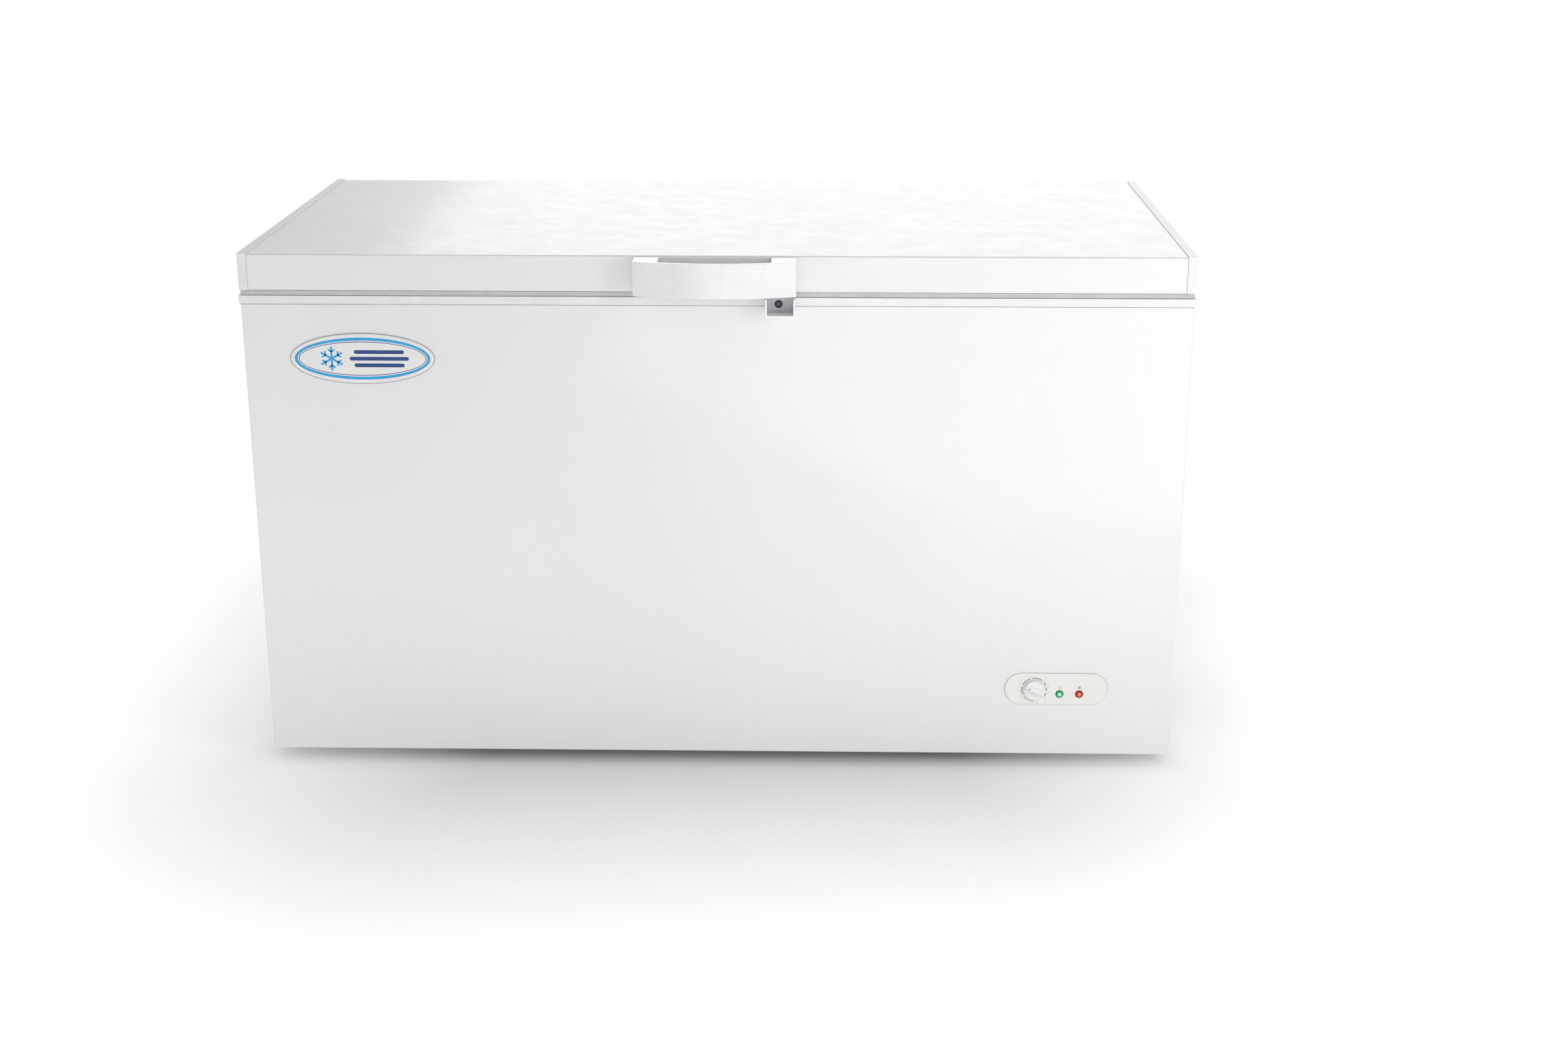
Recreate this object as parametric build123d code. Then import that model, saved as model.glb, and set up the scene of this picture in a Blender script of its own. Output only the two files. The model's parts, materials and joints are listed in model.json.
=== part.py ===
from build123d import *
import math
import os

# Chest freezer. Millimetres, +Z up, +X to the right and +Y to the back as seen from the front.
# The origin is on the floor under the middle of the freezer's box.

# ---------------------------------------------------------------- driving dimensions
HEIGHT = 840.0
LID_WIDTH = 1465.6
LID_DEPTH = 729.0
LID_BOTTOM = 782.8
END_CAP_WIDTH = 14.0
CAP_PROUD = 1.5  # end caps stand this far out of the steel lid panel
EDGE_RADIUS = 2.5  # long edges of the lid panel
GASKET_BOTTOM = 774.6
GASKET_WIDTH = 18.0
FRAME_BOTTOM = 760.7
FRAME_OVERHANG = 2.25
FRAME_WALL = 2.5
CABINET_WIDTH = 1466.3
CABINET_BOTTOM = 20.0
CABINET_SETBACK = 3.0  # cabinet front behind the lid front
CORNER_RADIUS = 4.0
SHEET = 0.8  # painted steel
LINER_SHEET = 1.0
LINER_CORNER = 22.0
TRAY_SHEET = 2.0
WALL = 62.0  # insulated wall
LEDGE = 9.0  # basket ledge in the front and rear walls
LEDGE_HEIGHT = 742.0
FLOOR_HEIGHT = 85.0
STEP_X = 400.0
STEP_HEIGHT = 345.0
MACHINE_X = 455.0  # left wall of the machine compartment
MACHINE_TOP = 280.0
HANDLE_REACH = 60.0
HINGE_REACH = 26.0  # hinge covers behind the cabinet
PIVOT_BACK = 17.0  # lid pivot behind the cabinet
PIVOT_HEIGHT = 770.0
LID_TRAVEL = math.radians(80)

# ---------------------------------------------------------------- derived places
LID_FRONT = -(HANDLE_REACH + CABINET_SETBACK + HINGE_REACH + LID_DEPTH - 6.0) / 2 + HANDLE_REACH
FRONT = LID_FRONT + CABINET_SETBACK
BACK = FRONT + LID_DEPTH - 2 * CABINET_SETBACK
LID_BACK = LID_FRONT + LID_DEPTH
HALF = CABINET_WIDTH / 2
LID_HALF = LID_WIDTH / 2
PANEL_HALF = LID_HALF - END_CAP_WIDTH
PIVOT_Y = BACK + PIVOT_BACK

CAVITY_HALF = HALF - WALL
CAVITY_Y = (FRONT + BACK) / 2
RIM_HALF_DEPTH = (BACK - FRONT) / 2 - WALL
CAVITY_HALF_DEPTH = RIM_HALF_DEPTH - LEDGE
PLUG_GAP = 12.0
PLUG_BOTTOM = 768.0

nodes = {}


# ---------------------------------------------------------------- helpers
def block(x0, x1, y0, y1, z0, z1):
    size = (x1 - x0, y1 - y0, z1 - z0)
    return Pos((x0 + x1) / 2, (y0 + y1) / 2, (z0 + z1) / 2) * Box(*size)


def rounded_block(x0, x1, y0, y1, z0, z1, radius):
    outline = RectangleRounded(x1 - x0, y1 - y0, radius)
    return Pos((x0 + x1) / 2, (y0 + y1) / 2, z0) * extrude(outline, amount=z1 - z0)


def rod(axis, at, length, radius):
    """A cylinder that starts at a point and runs along +X, +Y or +Z."""
    turn = {"X": Rot(0, 90, 0), "Y": Rot(-90, 0, 0), "Z": Rot(0, 0, 0)}[axis]
    shape = Cylinder(radius, length, align=(Align.CENTER, Align.CENTER, Align.MIN))
    return Pos(*at) * turn * shape


def tube(points, radius, bend):
    path = FilletPolyline(*points, radius=bend)
    return sweep(Plane(origin=path @ 0, z_dir=path % 0) * Circle(radius), path=path)


def wire_loop(half_x, half_y, z, radius, corner):
    path = (Pos(0, 0, z) * RectangleRounded(2 * half_x, 2 * half_y, corner)).wire()
    return sweep(Plane(origin=path @ 0, z_dir=path % 0) * Circle(radius), path=path)


def side_profile(points, x0, x1):
    """A closed outline in Y and Z, made solid from x0 to x1."""
    face = Plane.YZ * make_face(Polyline(*points, close=True))
    return Pos(x0, 0, 0) * extrude(face, amount=x1 - x0)


def front_rounded(half, y0, y1, z0, z1, radius):
    body = block(-half, half, y0, y1, z0, z1)
    return fillet(body.edges().filter_by(Axis.Z).group_by(Axis.Y)[0], radius)


def screw(axis, at, sign, head_radius=4.5, head=2.4, shank=10.0):
    """A pan head outside a surface with its shank running in; sign is the way in."""
    x, y, z = at
    step = {"X": (1, 0, 0), "Y": (0, 1, 0), "Z": (0, 0, 1)}[axis]
    low_head = 0 if sign < 0 else -head
    low_shank = -shank if sign < 0 else 0
    head_at = (x + step[0] * low_head, y + step[1] * low_head, z + step[2] * low_head)
    shank_at = (x + step[0] * low_shank, y + step[1] * low_shank, z + step[2] * low_shank)
    return rod(axis, head_at, head, head_radius) + rod(axis, shank_at, shank, 1.9)


# ---------------------------------------------------------------- control panel places
PANEL_X, PANEL_Z = 544.3, 133.5
PANEL_LONG, PANEL_HIGH = 166.6, 55.0
PANEL_PROUD = 2.0
KNOB_X, KNOB_Z = 508.8, 132.4
KNOB_RADIUS = 17.0
LAMP_RADIUS = 6.4
LAMP_Z = 125.0
POWER_LAMP_X, RUN_LAMP_X = 549.9, 581.7

# ---------------------------------------------------------------- lock places
LOCK_X, LOCK_Z = 96.4, 766.0
SHROUD_LEFT, SHROUD_RIGHT = 76.5, 122.0
SHROUD_FLOOR = 753.0
SHROUD_REACH = 35.0
BARREL_RADIUS = 6.0
PAWL_RADIUS = 12.0

# ---------------------------------------------------------------- hinge places
HINGES = {"left": -470.0, "right": 470.0}
CAM_RATE = 5.0  # plunger lift, millimetres per radian of lid travel
HUB_RADIUS = 5.0
PIN_RADIUS = 2.5
CAM_END = 5.2  # plunger face below the pivot with the lid open
CAM_START = CAM_END + CAM_RATE * LID_TRAVEL
CHEEK = 18.0
PLATE = 2.0
SPRING_SEAT = 655.0
PLUNGER_Y = PIVOT_Y - CAM_RATE
PLUNGER_TOP = PIVOT_HEIGHT - CAM_START
PLUNGER_HEAD = 6.0

FOOT_SPOTS = {
    "front_left": (-640.0, FRONT + 80),
    "front_right": (640.0, FRONT + 80),
    "rear_left": (-640.0, BACK - 60),
    "rear_right": (640.0, BACK - 60),
}
STEM_RADIUS = 5.0
BORE_GAP = 0.05

DRAIN_X, DRAIN_Y, DRAIN_Z = -600.0, 250.0, 48.0
GLAND_X, GLAND_Z = 690.0, 60.0
GLAND_RADIUS = 3.75

GRILLE = (-190.0, 60.0, 70.0, 220.0)  # y and z limits of the side grille
COVER = (470.0, 722.0, 34.0, 262.0)  # x and z limits of the rear machine cover
COMPRESSOR = (596.0, 150.0)


# ---------------------------------------------------------------- refrigerant coils
def evaporator_coil():
    """Flat aluminium tube wrapped round the liner, one turn above the other."""
    thick, tall = 4.0, 8.0
    deep = CAVITY_HALF_DEPTH + LINER_SHEET
    left = -(CAVITY_HALF + LINER_SHEET)
    low_right, high_right = STEP_X + LINER_SHEET, CAVITY_HALF + LINER_SHEET
    heights = [130.0, 185.0, 240.0, 330.0, 400.0, 470.0, 540.0, 610.0, 680.0]
    coil = Part()
    for height in heights:
        right = high_right if height > STEP_HEIGHT else low_right
        near, far = CAVITY_Y - deep, CAVITY_Y + deep
        low, high = height - tall / 2, height + tall / 2
        turn = block(left - thick, right + thick, near - thick, far + thick, low, high)
        coil += turn - block(left, right, near, far, low, high)
    far = CAVITY_Y + deep
    coil += block(-304, -296, far, far + thick, heights[0], heights[-1])
    coil += block(low_right, MACHINE_X + 15, 246, 254, 236, 244)
    return coil


def condenser_coil():
    """Flat tube laid to and fro on the inside of the front sheet."""
    thick, tall, left, right = 4.0, 8.0, -700.0, 700.0
    near = FRONT + SHEET
    runs = [(150.0, MACHINE_X + 15), (240.0, MACHINE_X - 25)]
    runs += [(height, right) for height in (330.0, 430.0, 530.0, 630.0, 710.0)]
    coil = Part()
    for height, end in runs:
        coil += block(left, end, near, near + thick, height - tall / 2, height + tall / 2)
    for index, ((low, low_end), (high, high_end)) in enumerate(zip(runs, runs[1:])):
        link = left if index % 2 == 0 else min(low_end, high_end) - tall
        coil += block(link, link + tall, near, near + thick, low, high)
    return coil


# ---------------------------------------------------------------- cabinet
def shell_openings():
    holes = block(SHROUD_LEFT + 8, SHROUD_RIGHT - 8, FRONT - 1, FRONT + 2, 756, FRAME_BOTTOM)
    stadium = Plane.XZ * SlotOverall(PANEL_LONG - 16, PANEL_HIGH - 16)
    holes += Pos(PANEL_X, FRONT + 5, PANEL_Z) * extrude(stadium, amount=10)
    y0, y1, z0, z1 = GRILLE
    holes += block(HALF - 5, HALF + 5, y0, y1, z0, z1)
    return holes


def outer_shell():
    """Painted sheet wrapped round the front and both sides."""
    outside = front_rounded(HALF, FRONT, BACK, CABINET_BOTTOM, FRAME_BOTTOM, CORNER_RADIUS)
    low, high = CABINET_BOTTOM - 1, FRAME_BOTTOM + 1
    inside = front_rounded(HALF - SHEET, FRONT + SHEET, BACK + 1, low, high, CORNER_RADIUS - SHEET)
    return outside - inside - shell_openings()


def rear_panel():
    x = HALF - SHEET
    panel = block(-x, x, BACK - SHEET, BACK, CABINET_BOTTOM, FRAME_BOTTOM)
    x0, x1, z0, z1 = COVER
    panel -= block(x0 + 8, x1 - 8, BACK - 5, BACK + 5, z0 + 8, z1 - 8)
    panel -= rod("Y", (DRAIN_X, BACK - 5, DRAIN_Z), 10, 11.0)
    return panel


def base_tray():
    x = HALF - SHEET
    low = CABINET_BOTTOM
    tray = front_rounded(x, FRONT + SHEET, BACK - SHEET, low, low + TRAY_SHEET, CORNER_RADIUS - SHEET)
    for spot in FOOT_SPOTS.values():
        tray -= rod("Z", (*spot, 0), 60, STEM_RADIUS + 0.6)
    for index in range(9):
        y = -230 + 34 * index
        tray -= block(500, 690, y, y + 10, 0, 60)
    return tray


def liner_cavity(grow):
    """The storage space: a deep well, the shallow part on the step and the wide rim."""
    half, deep, corner = CAVITY_HALF + grow, CAVITY_HALF_DEPTH + grow, LINER_CORNER + grow
    near, far = CAVITY_Y - deep, CAVITY_Y + deep
    well = rounded_block(-half, STEP_X + grow, near, far, FLOOR_HEIGHT - grow, STEP_HEIGHT + 30, corner)
    top = GASKET_BOTTOM + 5
    store = rounded_block(-half, half, near, far, STEP_HEIGHT - grow, top, corner)
    near, far = CAVITY_Y - RIM_HALF_DEPTH - grow, CAVITY_Y + RIM_HALF_DEPTH + grow
    rim = rounded_block(-half, half, near, far, LEDGE_HEIGHT - grow, top, corner)
    return well + store + rim


def drain_path(radius):
    points = [(DRAIN_X, DRAIN_Y, FLOOR_HEIGHT - LINER_SHEET), (DRAIN_X, DRAIN_Y, DRAIN_Z), (DRAIN_X, BACK, DRAIN_Z)]
    return tube(points, radius, 20)


def machine_space(grow=0.0):
    return block(MACHINE_X - grow, HALF, FRONT, BACK, 0, MACHINE_TOP + grow)


def lock_pocket():
    """Room behind the front sheet for the lock barrel, its pawl and the striker."""
    pocket = rod("Y", (LOCK_X, FRONT, LOCK_Z), 24, BARREL_RADIUS + 1)
    return pocket + block(78, 116, LID_FRONT + 20, LID_FRONT + 33, 741, GASKET_BOTTOM - FRAME_WALL)


def cabinet_foam(coils):
    x = HALF - SHEET
    low = CABINET_BOTTOM + TRAY_SHEET
    high = GASKET_BOTTOM - FRAME_WALL
    foam = front_rounded(x, FRONT + SHEET, BACK - SHEET, low, high, CORNER_RADIUS - SHEET)
    foam -= liner_cavity(LINER_SHEET)
    foam -= machine_space(SHEET)
    foam -= coils
    foam -= lock_pocket()
    foam -= block(SHROUD_LEFT + 8, SHROUD_RIGHT - 8, FRONT, FRONT + 14, 756, high + 1)
    foam -= drain_path(10.0)
    foam -= rod("Z", (DRAIN_X, DRAIN_Y, DRAIN_Z + 20), 60, 14.0) & block(-700, 0, 0, 400, 78, 90)
    for x, y in FOOT_SPOTS.values():
        if x < MACHINE_X:
            foam -= rod("Z", (x, y, 0), 62, 12.0)
    return foam


def foam_blocks(foam):
    """The foam as plain blocks that meet face to face: one for each wall, floor, step and corner."""
    left, right = -(CAVITY_HALF + LINER_SHEET), CAVITY_HALF + LINER_SHEET
    near = CAVITY_Y - CAVITY_HALF_DEPTH - LINER_SHEET
    far = CAVITY_Y + CAVITY_HALF_DEPTH + LINER_SHEET
    rim_near, rim_far = near - LEDGE, far + LEDGE
    floor, step, ledge = (z - LINER_SHEET for z in (FLOOR_HEIGHT, STEP_HEIGHT, LEDGE_HEIGHT))
    well_end, machine = STEP_X + LINER_SHEET, MACHINE_X - SHEET
    regions = [
        (-HALF, left, FRONT, BACK, 0, HEIGHT),
        (right, HALF, FRONT, BACK, 0, HEIGHT),
        (left, right, FRONT, rim_near, ledge, HEIGHT),
        (left, right, rim_far, BACK, ledge, HEIGHT),
        (left, right, rim_near, rim_far, ledge, HEIGHT),
        (left, machine, near, far, 0, floor),
        (well_end, machine, near, far, floor, step),
        (machine, right, near, far, 0, step),
        (left, well_end, near, far, floor, ledge),
        (well_end, right, near, far, step, ledge),
    ]
    for y0, y1 in ((FRONT, near), (far, BACK)):
        regions += [(left, machine, y0, y1, 0, ledge), (machine, right, y0, y1, 0, ledge)]
    return Compound(children=[solid for limits in regions for solid in (foam & block(*limits)).solids()])


def inner_liner():
    liner = liner_cavity(LINER_SHEET) - liner_cavity(0)
    liner &= block(-HALF, HALF, FRONT, BACK, 0, GASKET_BOTTOM - FRAME_WALL)
    return liner - rod("Z", (DRAIN_X, DRAIN_Y, 60), 60, 9.0)


def top_frame():
    """Plastic collar round the mouth of the cabinet."""
    half = HALF + FRAME_OVERHANG
    near, far = LID_FRONT, BACK + FRAME_OVERHANG
    frame = rounded_block(-half, half, near, far, FRAME_BOTTOM, GASKET_BOTTOM, 4.0)
    under = GASKET_BOTTOM - FRAME_WALL
    inner = half - FRAME_WALL
    near_in, far_in = near + FRAME_WALL, far - FRAME_WALL
    frame -= rounded_block(-inner, inner, near_in, far_in, FRAME_BOTTOM - 1, under, 1.5)
    mouth = rounded_block(
        -CAVITY_HALF, CAVITY_HALF, CAVITY_Y - RIM_HALF_DEPTH, CAVITY_Y + RIM_HALF_DEPTH, 700, 800, LINER_CORNER
    )
    frame -= mouth
    frame -= block(86, 118, LID_FRONT + 23, LID_FRONT + 31, 700, 800)
    return frame - block(SHROUD_LEFT + 8, SHROUD_RIGHT - 8, near - 1, near + 4, 756, under)


def machine_partition(coils):
    upright = block(MACHINE_X - SHEET, MACHINE_X, FRONT + SHEET, BACK - SHEET, 22, MACHINE_TOP + SHEET)
    deck = block(MACHINE_X - SHEET, HALF - SHEET, FRONT + SHEET, BACK - SHEET, MACHINE_TOP, MACHINE_TOP + SHEET)
    inside = front_rounded(
        HALF - SHEET, FRONT + SHEET, BACK - SHEET, 22, MACHINE_TOP + SHEET, CORNER_RADIUS - SHEET
    )
    return (upright + deck) & inside - coils


def side_grille():
    y0, y1, z0, z1 = GRILLE
    grille = block(HALF - 4, HALF + 0.6, y0, y1, z0, z1)
    slots = 11
    pitch = (z1 - z0 - 16) / slots
    for index in range(slots):
        low = z0 + 8 + pitch * index + 3
        grille -= block(HALF - 9, HALF + 9, y0 + 10, y1 - 10, low, low + pitch - 6)
    return grille


def rear_cover():
    """Vented sheet over the back of the machine compartment."""
    x0, x1, z0, z1 = COVER
    cover = block(x0, x1, BACK, BACK + 1.2, z0, z1)
    for row in range(8):
        for column in range(3):
            x, z = x0 + 26 + 72 * column, z0 + 62 + 17 * row
            cover -= block(x, x + 56, BACK - 1, BACK + 3, z, z + 6)
    cover -= rod("Y", (GLAND_X, BACK - 2, GLAND_Z), 6, 8.0)
    for x, z in rear_cover_holes():
        cover -= rod("Y", (x, BACK - 2, z), 6, 1.95)
    return cover


def rear_cover_holes():
    x0, x1, z0, z1 = COVER
    return [(x, z) for x in (x0 + 4, x1 - 4) for z in (z0 + 12, z1 - 12)]


def cord_gland():
    """Rubber bush for the mains cord, round a groove that grips the cover sheet."""
    gland = rod("Y", (GLAND_X, BACK - 6, GLAND_Z), 6, 10.0)
    gland += rod("Y", (GLAND_X, BACK, GLAND_Z), 1.2, 8.0)
    gland += rod("Y", (GLAND_X, BACK + 1.2, GLAND_Z), 7, 10.0)
    return gland - rod("Y", (GLAND_X, BACK - 8, GLAND_Z), 30, GLAND_RADIUS)


# ---------------------------------------------------------------- machinery
def compressor():
    x, y = COMPRESSOR
    pot = Pos(x, y, 46) * extrude(Ellipse(82, 68), amount=152)
    pot = fillet(pot.edges().group_by(Axis.Z)[-1], 34)
    pot = fillet(pot.edges().group_by(Axis.Z)[0], 12)
    seam = Pos(x, y, 120) * extrude(Ellipse(86, 72), amount=5)
    bracket = block(x - 92, x + 92, y - 68, y - 46, 42, 46) + block(x - 92, x + 92, y + 46, y + 68, 42, 46)
    bracket += block(x - 60, x + 60, y - 50, y + 50, 42, 47)
    body = pot + seam + bracket
    for spot in compressor_feet():
        body -= rod("Z", (*spot, 30), 30, 7.0)
    return body


def compressor_feet():
    x, y = COMPRESSOR
    return [(x + dx, y + dy) for dx in (-80, 80) for dy in (-57, 57)]


def compressor_plate():
    x, y = COMPRESSOR
    plate = block(x - 105, x + 105, y - 82, y + 82, 22, 25)
    for spot in compressor_feet():
        plate -= rod("Z", (*spot, 10), 30, 3.1)
    return plate


def compressor_grommets():
    grommet = Part()
    for x, y in compressor_feet():
        bush = rod("Z", (x, y, 25), 17, 11.0) + rod("Z", (x, y, 42), 4, 7.0) + rod("Z", (x, y, 46), 3, 11.0)
        grommet += bush - rod("Z", (x, y, 10), 60, 3.2)
    return grommet


def compressor_bolts():
    bolts = Part()
    for x, y in compressor_feet():
        bolts += rod("Z", (x, y, 22), 27, 3.0) + rod("Z", (x, y, 49), 1.5, 9.0)
        bolts += Pos(x, y, 50.5) * extrude(RegularPolygon(6, 6), amount=5)
    return bolts


def relay_cover():
    x, y = COMPRESSOR
    return block(x - 32, x + 32, y - 112, y - 74, 75, 135)


def filter_dryer():
    can = rod("Z", (500, 60, 120), 90, 9.0) + rod("Z", (500, 60, 210), 12, 3.0)
    return can + rod("Z", (500, 60, 108), 12, 3.0)


def refrigerant_tubes():
    """Discharge and suction lines between the compressor and the two coils."""
    x, y = COMPRESSOR
    inlet_x = MACHINE_X + 9
    coil_end = FRONT + SHEET + 4.0
    discharge = [(x - 81, y - 20, 150), (inlet_x, y - 20, 150), (inlet_x, coil_end, 150)]
    suction = [(x - 80, y + 20, 165), (x - 101, y + 20, 165), (x - 101, 250, 240), (MACHINE_X + 15, 250, 240)]
    return tube(discharge, 3.0, 12) + tube(suction, 4.0, 12)


# ---------------------------------------------------------------- controls
def control_panel():
    face = Plane.XZ * SlotOverall(PANEL_LONG, PANEL_HIGH)
    panel = Pos(PANEL_X, FRONT, PANEL_Z) * extrude(face, amount=PANEL_PROUD)
    boss = Plane.XZ * SlotOverall(PANEL_LONG - 17, PANEL_HIGH - 17)
    panel += Pos(PANEL_X, FRONT + 6, PANEL_Z) * extrude(boss, amount=6)
    panel -= rod("Y", (KNOB_X, FRONT - 9, KNOB_Z), 20, 3.0 + BORE_GAP)
    for x in (POWER_LAMP_X, RUN_LAMP_X):
        panel -= rod("Y", (x, FRONT - 9, LAMP_Z), 20, LAMP_RADIUS)
    return panel


def thermostat_body():
    body = block(KNOB_X - 24, KNOB_X + 24, FRONT + 6, FRONT + 40, KNOB_Z - 20, KNOB_Z + 20)
    return body - rod("Y", (KNOB_X, FRONT, KNOB_Z), 26, 3.0 + BORE_GAP)


def thermostat_knob():
    front = FRONT - PANEL_PROUD - 0.4
    disc = rod("Y", (KNOB_X, front - 7, KNOB_Z), 7, KNOB_RADIUS)
    grip = block(KNOB_X - 15.5, KNOB_X + 15.5, front - 15, front - 7, KNOB_Z - 4, KNOB_Z + 4)
    grip = Pos(KNOB_X, 0, KNOB_Z) * Rot(0, 25, 0) * Pos(-KNOB_X, 0, -KNOB_Z) * grip
    return disc + grip + rod("Y", (KNOB_X, front, KNOB_Z), 22, 3.0)


def lamp(x):
    lens = rod("Y", (x, FRONT - PANEL_PROUD - 2.5, LAMP_Z), 12, LAMP_RADIUS)
    return fillet(lens.edges().group_by(Axis.Y)[0], 2.0)


def badge():
    oval = Plane.XZ * Ellipse(112.35, 40.3)
    return Pos(-548.5, FRONT, 675.6) * extrude(oval, amount=2.0)


# ---------------------------------------------------------------- lock
def lock_housing():
    """Shroud round the key, open to the front and the top."""
    wall = 2.7
    near = FRONT - SHROUD_REACH
    shroud = block(SHROUD_LEFT, SHROUD_RIGHT, near, FRONT, SHROUD_FLOOR - wall, FRAME_BOTTOM)
    shroud += block(SHROUD_LEFT, SHROUD_RIGHT, near, LID_FRONT, FRAME_BOTTOM, 778)
    shroud -= block(SHROUD_LEFT + wall, SHROUD_RIGHT - wall, near - 1, FRONT - 6, SHROUD_FLOOR, 790)
    return shroud - rod("Y", (LOCK_X, FRONT - 20, LOCK_Z), 40, BARREL_RADIUS + BORE_GAP)


def lock_plate():
    wall = 2.7
    plate = block(SHROUD_LEFT + wall, SHROUD_RIGHT - wall, FRONT - 8, FRONT - 6, SHROUD_FLOOR, 778)
    plate += block(LOCK_X - 10, LOCK_X + 10, FRONT - 9, FRONT - 8, LOCK_Z - 9.5, LOCK_Z + 9.5)
    return plate - rod("Y", (LOCK_X, FRONT - 20, LOCK_Z), 40, BARREL_RADIUS + BORE_GAP)


def lock_cylinder():
    barrel = rod("Y", (LOCK_X, FRONT - 11, LOCK_Z), LID_FRONT + 22 - (FRONT - 11), BARREL_RADIUS)
    return barrel - block(LOCK_X - 0.6, LOCK_X + 0.6, FRONT - 12, FRONT - 3, LOCK_Z - 2.6, LOCK_Z + 2.6)


def lock_pawl():
    """Arm on the back of the barrel; its pin swings over the striker's ledge."""
    near = LID_FRONT + 22
    arm = rod("Y", (LOCK_X, near, LOCK_Z), 2.5, 5.5)
    arm += block(LOCK_X - PAWL_RADIUS, LOCK_X, near, near + 2.5, LOCK_Z - 3, LOCK_Z + 3)
    return arm + rod("Y", (LOCK_X - PAWL_RADIUS, near, LOCK_Z), 8, 2.5)


def lock_striker():
    near = LID_FRONT + 26
    hook = block(103, 109, near, near + 2, 746, LID_BOTTOM + LINER_SHEET)
    hook += block(90, 103, near, near + 2, 746, 750)
    flange = block(94, 118, near - 10, near + 14, LID_BOTTOM + LINER_SHEET, LID_BOTTOM + LINER_SHEET + 1.5)
    return hook + flange


# ---------------------------------------------------------------- drain, feet, baskets
def drain_tube():
    outside = drain_path(10.0)
    return outside - drain_path(8.0)


def drain_plug():
    plug = rod("Z", (DRAIN_X, DRAIN_Y, FLOOR_HEIGHT), 4, 16.0)
    plug += rod("Z", (DRAIN_X, DRAIN_Y, FLOOR_HEIGHT - 14), 14, 7.6)
    return plug + rod("Z", (DRAIN_X, DRAIN_Y, FLOOR_HEIGHT + 4), 9, 5.0)


def drain_cap():
    cap = rod("Y", (DRAIN_X, BACK, DRAIN_Z), 8, 15.0)
    return cap + rod("Y", (DRAIN_X, BACK - 12, DRAIN_Z), 12, 7.6)


def foot(spot):
    pad = rod("Z", (*spot, 0), 12, 20.0)
    pad = fillet(pad.edges().group_by(Axis.Z)[-1], 4)
    return pad + rod("Z", (*spot, 12), 44, STEM_RADIUS)


def foot_nuts():
    nuts = Part()
    for x, y in FOOT_SPOTS.values():
        low = CABINET_BOTTOM + TRAY_SHEET
        nut = Pos(x, y, low) * extrude(RegularPolygon(9.5, 6), amount=10)
        nuts += nut - rod("Z", (x, y, 0), 60, STEM_RADIUS + BORE_GAP)
    return nuts


def basket(x):
    """Basket as thin walls of the wire's own thickness; its cross bars rest on the liner's ledges."""
    half_x, half_y = 166.75, CAVITY_HALF_DEPTH - 4.25
    low, rim, wire, bar, corner = 558.25, LEDGE_HEIGHT + 3.05, 3.5, 3.0, 24.0
    tray = rounded_block(-half_x, half_x, -half_y, half_y, low, rim, corner)
    inner_x, inner_y = half_x - wire, half_y - wire
    tray -= rounded_block(-inner_x, inner_x, -inner_y, inner_y, low + wire, rim + 1, corner - wire)
    rim_x, rim_y = half_x - wire / 2, half_y - wire / 2
    parts = [tray, wire_loop(rim_x, rim_y, rim, bar, corner - wire / 2)]
    reach = RIM_HALF_DEPTH - 2.5
    for side in (-half_x + 30, half_x - 30):
        parts.append(rod("Y", (side, -reach, rim), 2 * reach, bar))
    return Pos(x, CAVITY_Y, 0) * (Part() + parts)


# ---------------------------------------------------------------- lid
def lid_panel():
    """Painted sheet folded over the lid's front and back."""
    near, far, top = LID_FRONT + CAP_PROUD, LID_BACK - CAP_PROUD, HEIGHT - CAP_PROUD
    outside = lid_slab(near, far, top, EDGE_RADIUS)
    inside = lid_slab(near + SHEET, far - SHEET, top - SHEET, EDGE_RADIUS - SHEET)
    return outside - inside


def lid_slab(near, far, top, radius):
    slab = block(-PANEL_HALF, PANEL_HALF, near, far, LID_BOTTOM, top)
    long_edges = slab.edges().filter_by(Axis.X).group_by(Axis.Z)[-1]
    return fillet(long_edges, radius)


def lid_foam():
    near, far = LID_FRONT + CAP_PROUD + SHEET, LID_BACK - CAP_PROUD - SHEET
    top = HEIGHT - CAP_PROUD - SHEET
    foam = lid_slab(near, far, top, EDGE_RADIUS - SHEET)
    low = LID_BOTTOM + LINER_SHEET
    foam &= block(-HALF, HALF, near, far, low, HEIGHT)
    foam += plug(LINER_SHEET)
    foam -= lock_striker()
    for x in HINGES.values():
        for at in arm_screw_spots(x):
            foam -= rod("Y", (at[0], far - 10, at[1]), 30, 1.9)
    for x, z in handle_screw_spots():
        foam -= rod("Y", (x, near - 5, z), 12, 1.9)
    return foam


def plug(inset):
    """The part of the lid that drops into the mouth of the cabinet."""
    half = CAVITY_HALF - PLUG_GAP - inset
    deep = RIM_HALF_DEPTH - PLUG_GAP - inset
    corner = 24.0 - inset
    low = PLUG_BOTTOM + inset
    return rounded_block(-half, half, CAVITY_Y - deep, CAVITY_Y + deep, low, LID_BOTTOM + inset, corner)


def lid_liner():
    near, far = LID_FRONT + CAP_PROUD + SHEET, LID_BACK - CAP_PROUD - SHEET
    sheet = block(-PANEL_HALF, PANEL_HALF, near, far, LID_BOTTOM, LID_BOTTOM + LINER_SHEET)
    return sheet + plug(0) - plug(LINER_SHEET) - lock_striker()


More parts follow.
